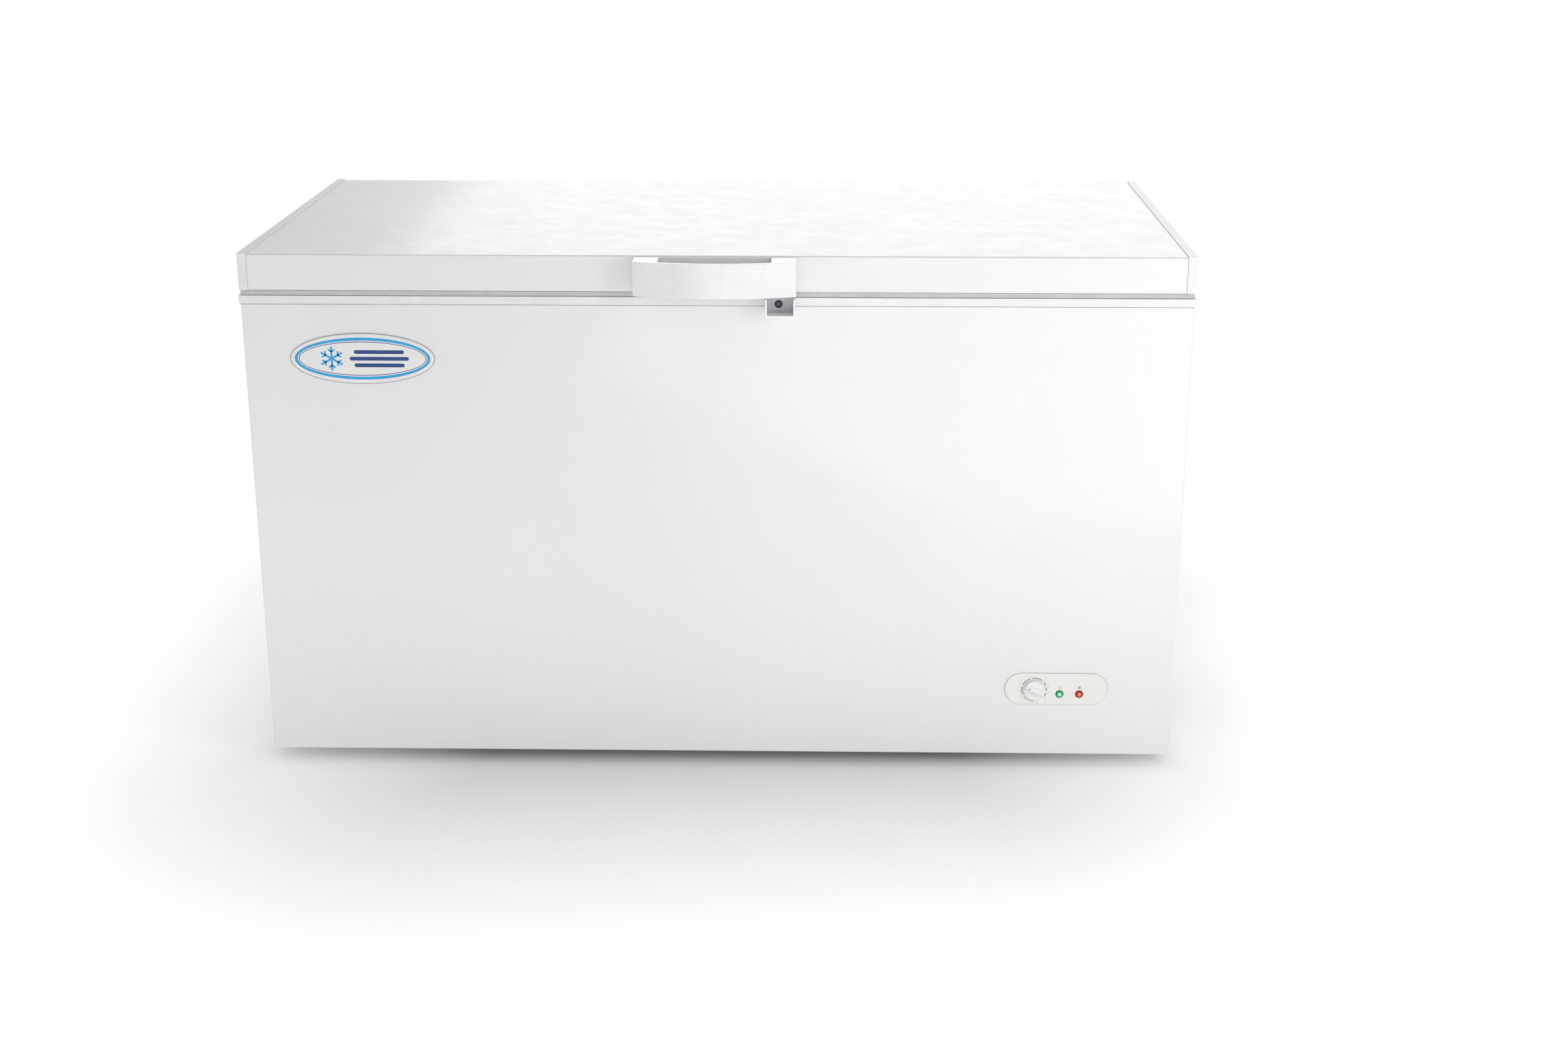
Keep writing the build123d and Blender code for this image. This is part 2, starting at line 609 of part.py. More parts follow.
def lid_cap(side):
    x0, x1 = sorted((side * PANEL_HALF, side * LID_HALF))
    cap = block(x0, x1, LID_FRONT, LID_BACK, LID_BOTTOM, HEIGHT)
    long_edges = cap.edges().filter_by(Axis.X).group_by(Axis.Z)[-1]
    cap = fillet(long_edges, 3.0)
    outer = cap.faces().sort_by(Axis.X)[-1 if side > 0 else 0]
    return fillet(outer.edges(), 1.2)


def lid_gasket():
    """Magnetic seal under the rim of the lid."""
    half = LID_HALF - 1.2
    near, far = LID_FRONT + 1.2, LID_BACK - 1.2
    band = rounded_block(-half, half, near, far, GASKET_BOTTOM, LID_BOTTOM, 3.0)
    inner = half - GASKET_WIDTH
    return band - rounded_block(
        -inner, inner, near + GASKET_WIDTH, far - GASKET_WIDTH, GASKET_BOTTOM, LID_BOTTOM, 4.0
    )


def handle():
    """Bow-fronted pull with a finger recess that opens upwards."""
    half, low, high, ends, wall = 123.8, 784.0, 837.0, 40.0, 8.0
    back = LID_FRONT + CAP_PROUD
    front = LID_FRONT - HANDLE_REACH
    bow = ThreePointArc((-half, LID_FRONT - ends), (0, front), (half, LID_FRONT - ends))
    rest = Polyline((half, LID_FRONT - ends), (half, back), (-half, back), (-half, LID_FRONT - ends))
    grip = Pos(0, 0, low) * extrude(make_face([bow, rest]), amount=high - low)
    grip = fillet(grip.edges().filter_by(Axis.Z).group_by(Axis.Y)[1], 7.0)
    inner = 86.0
    edge = LID_FRONT - ends + 4.0
    scoop = ThreePointArc((-inner, edge), (0, front + wall), (inner, edge))
    sides = Polyline((inner, edge), (inner, LID_FRONT - 5), (-inner, LID_FRONT - 5), (-inner, edge))
    grip -= Pos(0, 0, low + 9) * extrude(make_face([scoop, sides]), amount=high)
    for x, z in handle_screw_spots():
        grip -= rod("Y", (x, LID_FRONT - 6, z), 12, 1.9)
    return grip


def handle_screw_spots():
    return [(x, 812.0) for x in (-60.0, 0.0, 60.0)]


def arm_screw_spots(x):
    return [(x + dx, z) for dx in (-22, 22) for z in (798.0, 822.0)]


def lid_screws():
    """Identical screws of the handle and both hinge arms."""
    screws = Part()
    for x, z in handle_screw_spots():
        screws += screw("Y", (x, LID_FRONT - 5, z), 1)
    for x in HINGES.values():
        for sx, sz in arm_screw_spots(x):
            screws += screw("Y", (sx, LID_BACK - CAP_PROUD + 2.5, sz), -1)
    return screws


# ---------------------------------------------------------------- hinges
def cam_outline():
    """Involute of the hub circle, so the plunger rises evenly as the lid turns."""
    points = []
    steps = 12
    first, last = CAM_START / CAM_RATE + 0.12, 0.6
    for index in range(steps + 1):
        unwind = first + (last - first) * index / steps
        turned = CAM_START / CAM_RATE - unwind
        y, z = -CAM_RATE, -CAM_RATE * unwind
        along = y * math.cos(turned) - z * math.sin(turned)
        up = y * math.sin(turned) + z * math.cos(turned)
        points.append((PIVOT_Y + along, PIVOT_HEIGHT + up))
    return points


def hinge_arm(x):
    """Lid half of a hinge: plate on the lid's back, web, hub and cam."""
    y0 = LID_BACK - CAP_PROUD
    plate = block(x - 32, x + 32, y0, y0 + 2.5, 787, 832)
    web = [
        (y0 + 2.5, 787),
        (y0 + 2.5, 830),
        (PIVOT_Y - 3, 800),
        (PIVOT_Y + HUB_RADIUS - 0.2, PIVOT_HEIGHT + 3),
        (PIVOT_Y + 2, PIVOT_HEIGHT),
        (PIVOT_Y - HUB_RADIUS + 0.2, PIVOT_HEIGHT + 1),
    ]
    arm = plate + side_profile(web, x - 7, x + 7)
    arm += rod("X", (x - CHEEK + 0.4, PIVOT_Y, PIVOT_HEIGHT), 2 * CHEEK - 0.8, HUB_RADIUS)
    curve = cam_outline()
    centre = (PIVOT_Y, PIVOT_HEIGHT)
    face = Plane.YZ * make_face([Spline(*curve), Polyline(curve[-1], centre, curve[0])])
    arm += Pos(x - 4, 0, 0) * extrude(face, amount=8)
    for sx, sz in arm_screw_spots(x):
        arm -= rod("Y", (sx, y0 - 1, sz), 8, 1.95)
    return arm - rod("X", (x - CHEEK, PIVOT_Y, PIVOT_HEIGHT), 2 * CHEEK, PIN_RADIUS + BORE_GAP)


def hinge_base(x):
    """Cabinet half of a hinge: back plate, two cheeks and the spring's seat."""
    plate = block(x - 34, x + 34, BACK, BACK + PLATE, 640, FRAME_BOTTOM - 2)
    cheek = [
        (BACK + PLATE, 645),
        (BACK + 22, 645),
        (PIVOT_Y + 6, PIVOT_HEIGHT),
        (PIVOT_Y + 4, PIVOT_HEIGHT + 6),
        (PIVOT_Y - 6, PIVOT_HEIGHT + 6),
        (PIVOT_Y - 10, PIVOT_HEIGHT - 14),
        (BACK + PLATE, PIVOT_HEIGHT - 14),
    ]
    base = plate
    for left in (x - CHEEK - PLATE, x + CHEEK):
        base += side_profile(cheek, left, left + PLATE)
    base += block(x - CHEEK, x + CHEEK, BACK + PLATE, BACK + 22, SPRING_SEAT - 4, SPRING_SEAT)
    base -= rod("Z", (x, PLUNGER_Y, SPRING_SEAT - 10), 20, 3.5 + BORE_GAP)
    base -= rod("X", (x - 30, PIVOT_Y, PIVOT_HEIGHT), 60, PIN_RADIUS)
    for sx, sz in base_screw_spots(x):
        base -= rod("Y", (sx, BACK - 1, sz), 8, 1.95)
    return base


def base_screw_spots(x):
    return [(x + dx, z) for dx in (-27, 27) for z in (660.0, 740.0)]


def hinge_pins():
    pins = Part()
    for x in HINGES.values():
        pins += rod("X", (x - 21.5, PIVOT_Y, PIVOT_HEIGHT), 43, PIN_RADIUS)
        pins += rod("X", (x - 23, PIVOT_Y, PIVOT_HEIGHT), 1.5, 4.0)
        pins += rod("X", (x + 21.5, PIVOT_Y, PIVOT_HEIGHT), 1.5, 4.0)
    return pins


def hinge_plunger(x):
    top = PLUNGER_TOP - 0.05
    head = rod("Z", (x, PLUNGER_Y, top - PLUNGER_HEAD), PLUNGER_HEAD, 8.0)
    return head + rod("Z", (x, PLUNGER_Y, SPRING_SEAT - 12), top - SPRING_SEAT + 8, 3.5)


def hinge_spring(x):
    wire, coil = 1.3, 6.0
    low = SPRING_SEAT + wire
    high = PLUNGER_TOP - 0.05 - PLUNGER_HEAD - wire
    turns = 12
    path = Pos(x, PLUNGER_Y, low) * Helix(pitch=(high - low) / turns, height=high - low, radius=coil)
    return sweep(Plane(origin=path @ 0, z_dir=path % 0) * Circle(wire), path=path, is_frenet=True)


def hinge_cover(x):
    """Plastic box over the spring."""
    wall = 1.6
    far = BACK + HINGE_REACH
    cover = block(x - 36, x + 36, BACK + PLATE, far, 636, PIVOT_HEIGHT - 16)
    cover -= block(x - 36 + wall, x + 36 - wall, BACK, far - wall, 636 + wall, 800)
    return fillet(cover.edges().filter_by(Axis.Z).group_by(Axis.Y)[-1], 1.2)


def cabinet_screws():
    """Identical screws of the hinges and the rear cover."""
    screws = Part()
    for x in HINGES.values():
        for sx, sz in base_screw_spots(x):
            screws += screw("Y", (sx, BACK + PLATE, sz), -1)
    for x, z in rear_cover_holes():
        screws += screw("Y", (x, BACK + 1.2, z), -1)
    return screws


# ---------------------------------------------------------------- build
coils = evaporator_coil() + condenser_coil()
fixings = cabinet_screws()
nodes["outer_shell"] = outer_shell()
nodes["rear_panel"] = rear_panel() - fixings
nodes["base_tray"] = base_tray()
nodes["top_frame"] = top_frame()
nodes["cabinet_foam"] = foam_blocks(cabinet_foam(coils) - fixings - nodes["top_frame"])
nodes["inner_liner"] = inner_liner()
nodes["machine_partition"] = machine_partition(coils)
nodes["evaporator_coil"] = evaporator_coil()
nodes["condenser_coil"] = condenser_coil()
nodes["compressor"] = compressor()
nodes["compressor_plate"] = compressor_plate()
nodes["compressor_grommets"] = compressor_grommets()
nodes["compressor_bolts"] = compressor_bolts()
nodes["relay_cover"] = relay_cover()
nodes["filter_dryer"] = filter_dryer()
nodes["refrigerant_tubes"] = refrigerant_tubes()
nodes["side_grille"] = side_grille()
nodes["rear_cover"] = rear_cover()
nodes["cord_gland"] = cord_gland()
nodes["control_panel"] = control_panel()
nodes["thermostat_body"] = thermostat_body()
nodes["thermostat_knob"] = thermostat_knob()
nodes["power_lamp"] = lamp(POWER_LAMP_X)
nodes["run_lamp"] = lamp(RUN_LAMP_X)
nodes["badge"] = badge()
nodes["lock_housing"] = lock_housing()
nodes["lock_plate"] = lock_plate()
nodes["lock_cylinder"] = lock_cylinder()
nodes["lock_pawl"] = lock_pawl()
nodes["lock_striker"] = lock_striker()
nodes["drain_tube"] = drain_tube()
nodes["drain_plug"] = drain_plug()
nodes["drain_cap"] = drain_cap()
nodes["foot_nuts"] = foot_nuts()
nodes["cabinet_screws"] = fixings
nodes["lid_panel"] = lid_panel()
nodes["lid_cap_left"] = lid_cap(-1)
nodes["lid_cap_right"] = lid_cap(1)
nodes["lid_foam"] = lid_foam()
nodes["lid_liner"] = lid_liner()
nodes["lid_gasket"] = lid_gasket()
nodes["handle"] = handle()
nodes["lid_screws"] = lid_screws()
nodes["hinge_pins"] = hinge_pins()
nodes["lid_panel"] -= nodes["lid_screws"]
for side, place in HINGES.items():
    nodes["hinge_arm_" + side] = hinge_arm(place)
    nodes["hinge_base_" + side] = hinge_base(place)
    nodes["hinge_plunger_" + side] = hinge_plunger(place)
    nodes["hinge_spring_" + side] = hinge_spring(place)
    nodes["hinge_cover_" + side] = hinge_cover(place)
for side, spot in FOOT_SPOTS.items():
    nodes["foot_" + side] = foot(spot)
nodes["basket_left"] = basket(-495.0)
nodes["basket_right"] = basket(495.0)

os.makedirs("parts", exist_ok=True)
for name, shape in nodes.items():
    export_step(shape, f"parts/{name}.step")
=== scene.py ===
"""Looks of the chest freezer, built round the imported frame. Metres, +Z up, front towards -Y."""
import json
from math import asin, cos, degrees, hypot, pi, radians, sin, tan

import bmesh
import bpy
from mathutils import Matrix, Quaternion, Vector


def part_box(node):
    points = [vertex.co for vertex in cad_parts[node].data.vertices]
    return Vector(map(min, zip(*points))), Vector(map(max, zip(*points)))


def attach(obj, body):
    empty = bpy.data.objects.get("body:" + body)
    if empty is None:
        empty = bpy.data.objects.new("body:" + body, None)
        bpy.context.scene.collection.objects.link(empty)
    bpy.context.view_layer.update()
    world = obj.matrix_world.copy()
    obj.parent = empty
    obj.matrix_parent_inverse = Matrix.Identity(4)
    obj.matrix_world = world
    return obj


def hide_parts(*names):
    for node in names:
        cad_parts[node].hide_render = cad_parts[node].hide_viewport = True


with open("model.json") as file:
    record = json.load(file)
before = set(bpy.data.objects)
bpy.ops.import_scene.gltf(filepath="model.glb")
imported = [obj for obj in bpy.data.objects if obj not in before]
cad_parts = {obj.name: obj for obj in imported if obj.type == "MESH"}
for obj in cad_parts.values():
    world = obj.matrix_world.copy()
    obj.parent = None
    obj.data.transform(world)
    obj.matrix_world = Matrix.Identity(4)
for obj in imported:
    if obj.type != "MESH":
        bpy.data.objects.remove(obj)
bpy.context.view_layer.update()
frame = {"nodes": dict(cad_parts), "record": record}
nodes = frame["nodes"]
MM = 0.001

# ---------- places read from the frame
LID_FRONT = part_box("lid_cap_left")[0].y
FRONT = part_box("outer_shell")[0].y
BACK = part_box("rear_panel")[1].y
OVER = 0.01  # how far a cutter stands past the faces it cuts


# ---------- node material helpers
class Shader:
    """A Principled material with short calls for the nodes that feed it."""

    def __init__(self, name, color, rough=0.4, metallic=0.0, coat=0.0, coat_rough=0.1):
        self.material = bpy.data.materials.new(name)
        self.material.use_nodes = True
        self.tree = self.material.node_tree
        self.bsdf = self.tree.nodes["Principled BSDF"]
        values = {"Base Color": (*color, 1.0), "Roughness": rough, "Metallic": metallic,
                  "Coat Weight": coat, "Coat Roughness": coat_rough, "IOR": 1.5}
        for socket, value in values.items():
            self.set(socket, value)
        self.place = self.node("ShaderNodeTexCoord").outputs["Object"]
        self.height = None

    def set(self, socket, value):
        self.bsdf.inputs[socket].default_value = value

    def node(self, kind, inputs=(), **values):
        made = self.tree.nodes.new(kind)
        for key, value in values.items():
            setattr(made, key, value)
        for socket, value in dict(inputs).items():
            made.inputs[socket].default_value = value
        return made

    def link(self, source, target):
        self.tree.links.new(source, target)

    def stretch(self, scale):
        mapping = self.node("ShaderNodeMapping", {"Scale": scale})
        self.link(self.place, mapping.inputs["Vector"])
        return mapping.outputs["Vector"]

    def noise(self, scale, detail=3.0, at=None):
        made = self.node("ShaderNodeTexNoise", {"Scale": scale, "Detail": detail})
        self.link(at or self.place, made.inputs["Vector"])
        return made.outputs["Fac"]

    def cells(self, scale, feature="F1", output="Distance"):
        made = self.node("ShaderNodeTexVoronoi", {"Scale": scale}, feature=feature)
        self.link(self.place, made.inputs["Vector"])
        return made.outputs[output]

    def spread(self, source, low, high, to_low=0.0, to_high=1.0):
        ends = {"From Min": low, "From Max": high, "To Min": to_low, "To Max": to_high}
        made = self.node("ShaderNodeMapRange", ends)
        self.link(source, made.inputs["Value"])
        return made.outputs["Result"]

    def blend_colors(self, factor, first, second):
        made = self.node("ShaderNodeMix", data_type="RGBA")
        self.link(factor, made.inputs["Factor"])
        for socket, value in (("A", first), ("B", second)):
            target = [s for s in made.inputs if s.name == socket and s.type == "RGBA"][0]
            target.default_value = (*value, 1.0)
        return [s for s in made.outputs if s.type == "RGBA"][0]

    def mottle(self, first, second, scale, low=0.35, high=0.65, detail=3.0):
        factor = self.spread(self.noise(scale, detail), low, high)
        self.link(self.blend_colors(factor, first, second), self.bsdf.inputs["Base Color"])

    def vary_roughness(self, scale, low, high):
        factor = self.spread(self.noise(scale, 4.0), 0.3, 0.7, low, high)
        self.link(factor, self.bsdf.inputs["Roughness"])

    def bump(self, height, depth_mm, strength=1.0):
        made = self.node("ShaderNodeBump", {"Strength": strength, "Distance": depth_mm * MM})
        self.link(height, made.inputs["Height"])
        if self.height is not None:
            self.link(self.height, made.inputs["Normal"])
        self.height = made.outputs["Normal"]
        self.link(self.height, self.bsdf.inputs["Normal"])


def scaled(color, factor):
    return tuple(min(1.0, c * factor) for c in color)


def painted(name, color, rough=0.34, coat=0.5, grain=0.008):
    """Baked enamel on sheet steel: faint cloudiness and fine orange peel."""
    s = Shader(name, color, rough, coat=coat, coat_rough=0.12)
    s.mottle(scaled(color, 0.985), scaled(color, 1.01), 2.2)
    s.vary_roughness(35, rough - 0.05, rough + 0.06)
    s.bump(s.noise(420, 2.0), grain)
    s.bump(s.noise(6, 1.0), 0.05, 0.3)
    return s.material


def moulded(name, color, rough=0.35, grain=0.01, scale=900.0, coat=0.0, subsurface=0.0):
    """Injection-moulded plastic with a fine spark-eroded grain."""
    s = Shader(name, color, rough, coat=coat, coat_rough=0.15)
    if subsurface:
        s.set("Subsurface Weight", subsurface)
        s.set("Subsurface Radius", (0.004, 0.004, 0.003))
    s.mottle(scaled(color, 0.97), scaled(color, 1.015), 30)
    s.vary_roughness(60, rough - 0.05, rough + 0.07)
    s.bump(s.noise(scale, 2.0), grain)
    return s.material


def plated(name, color, rough=0.36, spangle=220.0):
    """Zinc plate: faint crystal patches, rolling lines and dull handling marks."""
    s = Shader(name, color, rough, metallic=1.0)
    patches = s.cells(spangle, output="Color")
    grey = s.node("ShaderNodeRGBToBW")
    s.link(patches, grey.inputs["Color"])
    share = s.spread(grey.outputs["Val"], 0.2, 0.8)
    tint = s.blend_colors(share, scaled(color, 0.95), scaled(color, 1.05))
    s.link(tint, s.bsdf.inputs["Base Color"])
    s.vary_roughness(18, rough - 0.08, rough + 0.14)
    s.bump(s.noise(300, 3.0, at=s.stretch((1.0, 1.0, 0.08))), 0.01)
    return s.material


def drawn_metal(name, color, dull, rough=0.3):
    """Drawn tube: bright metal with duller oxidised patches."""
    s = Shader(name, color, rough, metallic=1.0)
    s.mottle(color, dull, 24, 0.42, 0.72, 5.0)
    s.vary_roughness(40, rough - 0.06, rough + 0.22)
    s.bump(s.noise(700, 2.0), 0.006)
    return s.material


def rubbery(name, color, rough=0.62, grain=0.02):
    s = Shader(name, color, rough)
    s.set("Sheen Weight", 0.12)
    s.mottle(scaled(color, 0.96), scaled(color, 1.04), 45)
    s.vary_roughness(80, rough - 0.08, rough + 0.1)
    s.bump(s.noise(1100, 3.0), grain)
    return s.material


def stucco(name, color):
    """Embossed, lacquered aluminium sheet of the storage space."""
    s = Shader(name, color, 0.38, metallic=0.25, coat=0.3, coat_rough=0.2)
    s.mottle(scaled(color, 0.96), scaled(color, 1.02), 4)
    s.vary_roughness(30, 0.32, 0.46)
    pebbles = s.cells(160, feature="SMOOTH_F1")
    s.bump(pebbles, 0.35, 0.5)
    s.bump(s.noise(500, 2.0), 0.01)
    return s.material


def foamed(name, color):
    """Rigid polyurethane foam with its skin and open cells."""
    s = Shader(name, color, 0.9)
    s.mottle(scaled(color, 0.8), scaled(color, 1.05), 12, detail=6.0)
    s.bump(s.cells(900), 0.3, 0.8)
    s.vary_roughness(25, 0.8, 0.95)
    return s.material


def glowing_lens(name, color, deep, glow=0.0):
    """Tinted lamp lens: prismatic ribs inside, glossy outside, lit from behind where it glows."""
    s = Shader(name, color, 0.2, coat=0.15, coat_rough=0.08)
    s.set("Specular IOR Level", 0.25)
    s.set("Emission Color", (*color, 1))
    s.set("Emission Strength", glow)
    s.mottle(deep, color, 320, 0.3, 0.6)
    s.bump(s.cells(900), 0.06, 0.5)
    s.vary_roughness(90, 0.14, 0.26)
    return s.material


def printed(name, color, rough=0.45):
    """Silk-screened ink: slightly uneven film."""
    s = Shader(name, color, rough)
    s.mottle(scaled(color, 0.9), scaled(color, 1.08), 260)
    s.bump(s.noise(1600, 2.0), 0.004)
    s.vary_roughness(120, rough - 0.06, rough + 0.08)
    return s.material


WHITE = (0.80, 0.80, 0.80)
MATERIALS = {
    "white_steel": painted("enamel_white", WHITE),
    "white_plastic": moulded("plastic_white", WHITE, 0.32, coat=0.2),
    "ivory_plastic": moulded("plastic_ivory", (0.82, 0.82, 0.785), 0.38),
    "knob_plastic": moulded("plastic_knob", (0.8, 0.8, 0.78), 0.34),
    "badge_plastic": moulded("plastic_badge", (0.80, 0.80, 0.79), 0.2, coat=0.5),
    "grey_plastic": moulded("plastic_grey", (0.57, 0.565, 0.595), 0.45),
    "black_plastic": moulded("plastic_black", (0.028, 0.028, 0.03), 0.5, grain=0.02),
    "black_rubber": rubbery("rubber_black", (0.02, 0.02, 0.021)),
    "grey_gasket": rubbery("seal_grey", (0.53, 0.535, 0.54), 0.5),
    "zinc_steel": plated("zinc_plate", (0.62, 0.63, 0.65)),
    "black_steel": painted("enamel_black", (0.02, 0.02, 0.022), 0.3, 0.6, 0.02),
    "white_aluminium": stucco("liner_stucco", (0.8, 0.81, 0.82)),
    "coil_aluminium": drawn_metal("tube_aluminium", (0.78, 0.79, 0.8), (0.6, 0.61, 0.62)),
    "copper_tube": drawn_metal("tube_copper", (0.80, 0.42, 0.28), (0.45, 0.22, 0.14)),
    "lock_metal": plated("lock_nickel", (0.55, 0.55, 0.57), 0.25, 500.0),
    "spring_steel": drawn_metal("spring_steel", (0.5, 0.5, 0.52), (0.3, 0.3, 0.31), 0.34),
    "coated_wire": moulded("wire_coat", WHITE, 0.3, coat=0.3),
    "green_lens": glowing_lens("lens_green", (0.01, 0.22, 0.085), (0.005, 0.13, 0.045)),
    "red_lens": glowing_lens("lens_red", (0.24, 0.01, 0.008), (0.15, 0.004, 0.004)),
    "foam": foamed("insulation_foam", (0.82, 0.72, 0.48)),
}
INKS = {
    # Painted shade, not print: the grey ring round the control bezel's edge that stands for the
    # shade in its gap.
    "edge_shade": printed("painted_edge_shade", (0.45, 0.45, 0.45)),
    "grey": printed("ink_grey", (0.22, 0.22, 0.23)),
    "red": printed("ink_red", (0.62, 0.02, 0.02)),
    "blue": printed("ink_blue", (0.022, 0.352, 0.716)),
    "navy": printed("ink_navy", (0.01, 0.051, 0.216)),
}
# Lamp lenses: the zone round the middle and the lit middle, by the slot of the whole lens.
BANDS = {
    "green_lens": glowing_lens("lens_green_band", (0.04, 0.52, 0.22), (0.02, 0.36, 0.14)),
    "red_lens": glowing_lens("lens_red_band", (0.62, 0.02, 0.015), (0.42, 0.01, 0.01)),
}
CORES = {
    "green_lens": glowing_lens("lens_green_core", (0.40, 0.90, 0.62), (0.20, 0.72, 0.42), 0.45),
    "red_lens": glowing_lens("lens_red_core", (0.90, 0.24, 0.06), (0.75, 0.06, 0.03), 0.45),
}
# Paler than the other white plastic: painted light that brightens the lock pocket's floor, which
# lies in the handle's shade.
SHROUD_PAINTED_LIGHT = moulded("shroud_painted_light", (0.88, 0.88, 0.90), 0.3)
HANDLE_WHITE = moulded("handle_white", (0.79, 0.79, 0.79), 0.3, grain=0.004, coat=0.8)
LOCK_GREY = moulded("lock_ring_grey", (0.2, 0.2, 0.21), 0.36)
LOCK_BLACK = moulded("lock_ring_black", (0.03, 0.03, 0.034), 0.42)

slots = {entry["node"]: entry["material_slot"] for entry in frame["record"]["subparts"]}
for name, cad in nodes.items():
    cad.data.materials.clear()
    cad.data.materials.append(MATERIALS[slots[name]])


# ---------- mesh helpers
def middle_of(low, high):
    return [(a + b) / 2 for a, b in zip(low, high)]


def add_object(name, data):
    made = bpy.data.objects.new(name, data)
    bpy.context.scene.collection.objects.link(made)
    return made


def to_object(name, mesh, material):
    mesh.materials.clear()
    mesh.materials.append(material)
    return add_object(name, mesh)


def from_faces(name, points, faces, material):
    mesh = bpy.data.meshes.new(name)
    mesh.from_pydata([tuple(p) for p in points], [], faces)
    mesh.update()
    return to_object(name, mesh, material)


def on_axis(a, b, along, axis):
    """A point from its two flat coordinates and its height along the named axis."""
    return {"Z": (a, b, along), "Y": (a, along, b), "X": (along, a, b)}[axis]


def extruded(name, outline, low, high, material, axis="Z"):
    """A flat outline made solid between two heights on the named axis."""
    count = len(outline)
    points = [on_axis(a, b, level, axis) for level in (low, high) for a, b in outline]
    faces = [tuple(range(count)), tuple(range(2 * count - 1, count - 1, -1))]
    faces += [(i, i + count, (i + 1) % count + count, (i + 1) % count) for i in range(count)]
    return outward(from_faces(name, points, faces, material))


def outward(piece, weld=None):
    """Turns every face outwards, after joining points nearer than the weld distance."""
    work = bmesh.new()
    work.from_mesh(piece.data)
    if weld:
        bmesh.ops.remove_doubles(work, verts=work.verts, dist=weld)
    bmesh.ops.recalc_face_normals(work, faces=work.faces)
    work.to_mesh(piece.data)
    work.free()
    return piece


def box_piece(name, low, high, material):
    outline = [(low[0], low[1]), (high[0], low[1]), (high[0], high[1]), (low[0], high[1])]
    return extruded(name, outline, low[2], high[2], material)


def box_cutter(low, high):
    return box_piece("cutter", low, high, MATERIALS["white_plastic"])


def bore_cutter(radius, reach, centre, steps):
    """A round cutter along Y, standing out by its reach on both sides of the centre."""
    profile = [(radius, -reach), (radius, reach)]
    return lathe("cutter", profile, centre, "Y", MATERIALS["white_plastic"], steps)


def band_faces(rows, count, closed=False):
    """Quads between neighbouring rings of points; the last ring meets the first if closed."""
    faces = []
    for row in range(rows if closed else rows - 1):
        near, far = row * count, (row + 1) % rows * count
        for index in range(count):
            after = (index + 1) % count
            faces.append((near + index, near + after, far + after, far + index))
    return faces


def closed_rings(name, points, rows, count, material):
    """A solid skin over rings of points, with a flat face at both ends."""
    faces = band_faces(rows, count)
    faces.append(tuple(range(count)))
    faces.append(tuple(range((rows - 1) * count, rows * count)))
    return outward(from_faces(name, points, faces, material))


def lathe(name, profile, centre, axis, material, steps=64):
    """Turns (radius, height) pairs about an axis through the centre; both ends are closed."""
    points = []
    for radius, along in profile:
        for index in range(steps):
            angle = 2 * pi * index / steps
            a, b = radius * cos(angle), radius * sin(angle)
            points.append(Vector(centre) + Vector(on_axis(a, b, along, axis)))
    return closed_rings(name, points, len(profile), steps, material)


def turned(name, profile_mm, centre, material, steps, sharp_angle, axis="Y"):
    """A smooth lathe piece from a profile in millimetres."""
    profile = [(radius * MM, height * MM) for radius, height in profile_mm]
    return smooth(lathe(name, profile, centre, axis, material, steps), sharp_angle)


def evaluated_mesh(thing):
    graph = bpy.context.evaluated_depsgraph_get()
    return bpy.data.meshes.new_from_object(thing.evaluated_get(graph))


def apply_modifiers(piece):
    mesh = evaluated_mesh(piece)
    piece.modifiers.clear()
    piece.data = mesh
    return piece


def carve(piece, *cutters):
    for cutter in cutters:
        cut = piece.modifiers.new("cut", "BOOLEAN")
        cut.operation = "DIFFERENCE"
        cut.solver = "EXACT"
        cut.object = cutter
    apply_modifiers(piece)
    for cutter in cutters:
        bpy.data.objects.remove(cutter)
    return piece


def weigh_normals(piece):
    weighted = piece.modifiers.new("normals", "WEIGHTED_NORMAL")
    weighted.keep_sharp = True
    return apply_modifiers(piece)


def soften(piece, width_mm, segments=3):
    bevel = piece.modifiers.new("edges", "BEVEL")
    bevel.width = width_mm * MM
    bevel.segments = segments
    bevel.limit_method = "ANGLE"
    bevel.angle_limit = radians(32)
    piece.data.shade_smooth()
    return weigh_normals(piece)


def smooth(piece, angle=35):
    """Smooth shading that breaks at sharp edges and leaves large flat faces flat."""
    piece.data.shade_smooth()
    piece.data.set_sharp_from_angle(angle=radians(angle))
    return weigh_normals(piece)


def place(piece, body, slot, *replaced):
    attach(piece, body)
    if replaced:
        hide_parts(*replaced)
    return piece


def join(name, pieces):
    """Several meshes as one object, each keeping its own material."""
    work = bmesh.new()
    materials = []
    for piece in pieces:
        for material in piece.data.materials:
            if material not in materials:
                materials.append(material)
    for piece in pieces:
        remap = [materials.index(m) for m in piece.data.materials]
        mesh = piece.data
        mesh.transform(piece.matrix_world)
        for polygon in mesh.polygons:
            polygon.material_index = remap[polygon.material_index]
        work.from_mesh(mesh)
    mesh = bpy.data.meshes.new(name)
    work.to_mesh(mesh)
    work.free()
    for material in materials:
        mesh.materials.append(material)
    for piece in pieces:
        bpy.data.objects.remove(piece)
    return add_object(name, mesh)


def arc(centre, radius, start, end, steps):
    """Points round a circle, or an ellipse where the radius is a pair; angles in degrees."""
    rx, ry = radius if isinstance(radius, tuple) else (radius, radius)
    angles = [radians(start + (end - start) * i / steps) for i in range(steps + 1)]
    return [(centre[0] + rx * cos(a), centre[1] + ry * sin(a)) for a in angles]


def stadium(centre, long, high, steps=32):
    half = (long - high) / 2
    right = arc((centre[0] + half, centre[1]), high / 2, -90, 90, steps)
    left = arc((centre[0] - half, centre[1]), high / 2, 90, 270, steps)
    return right + left


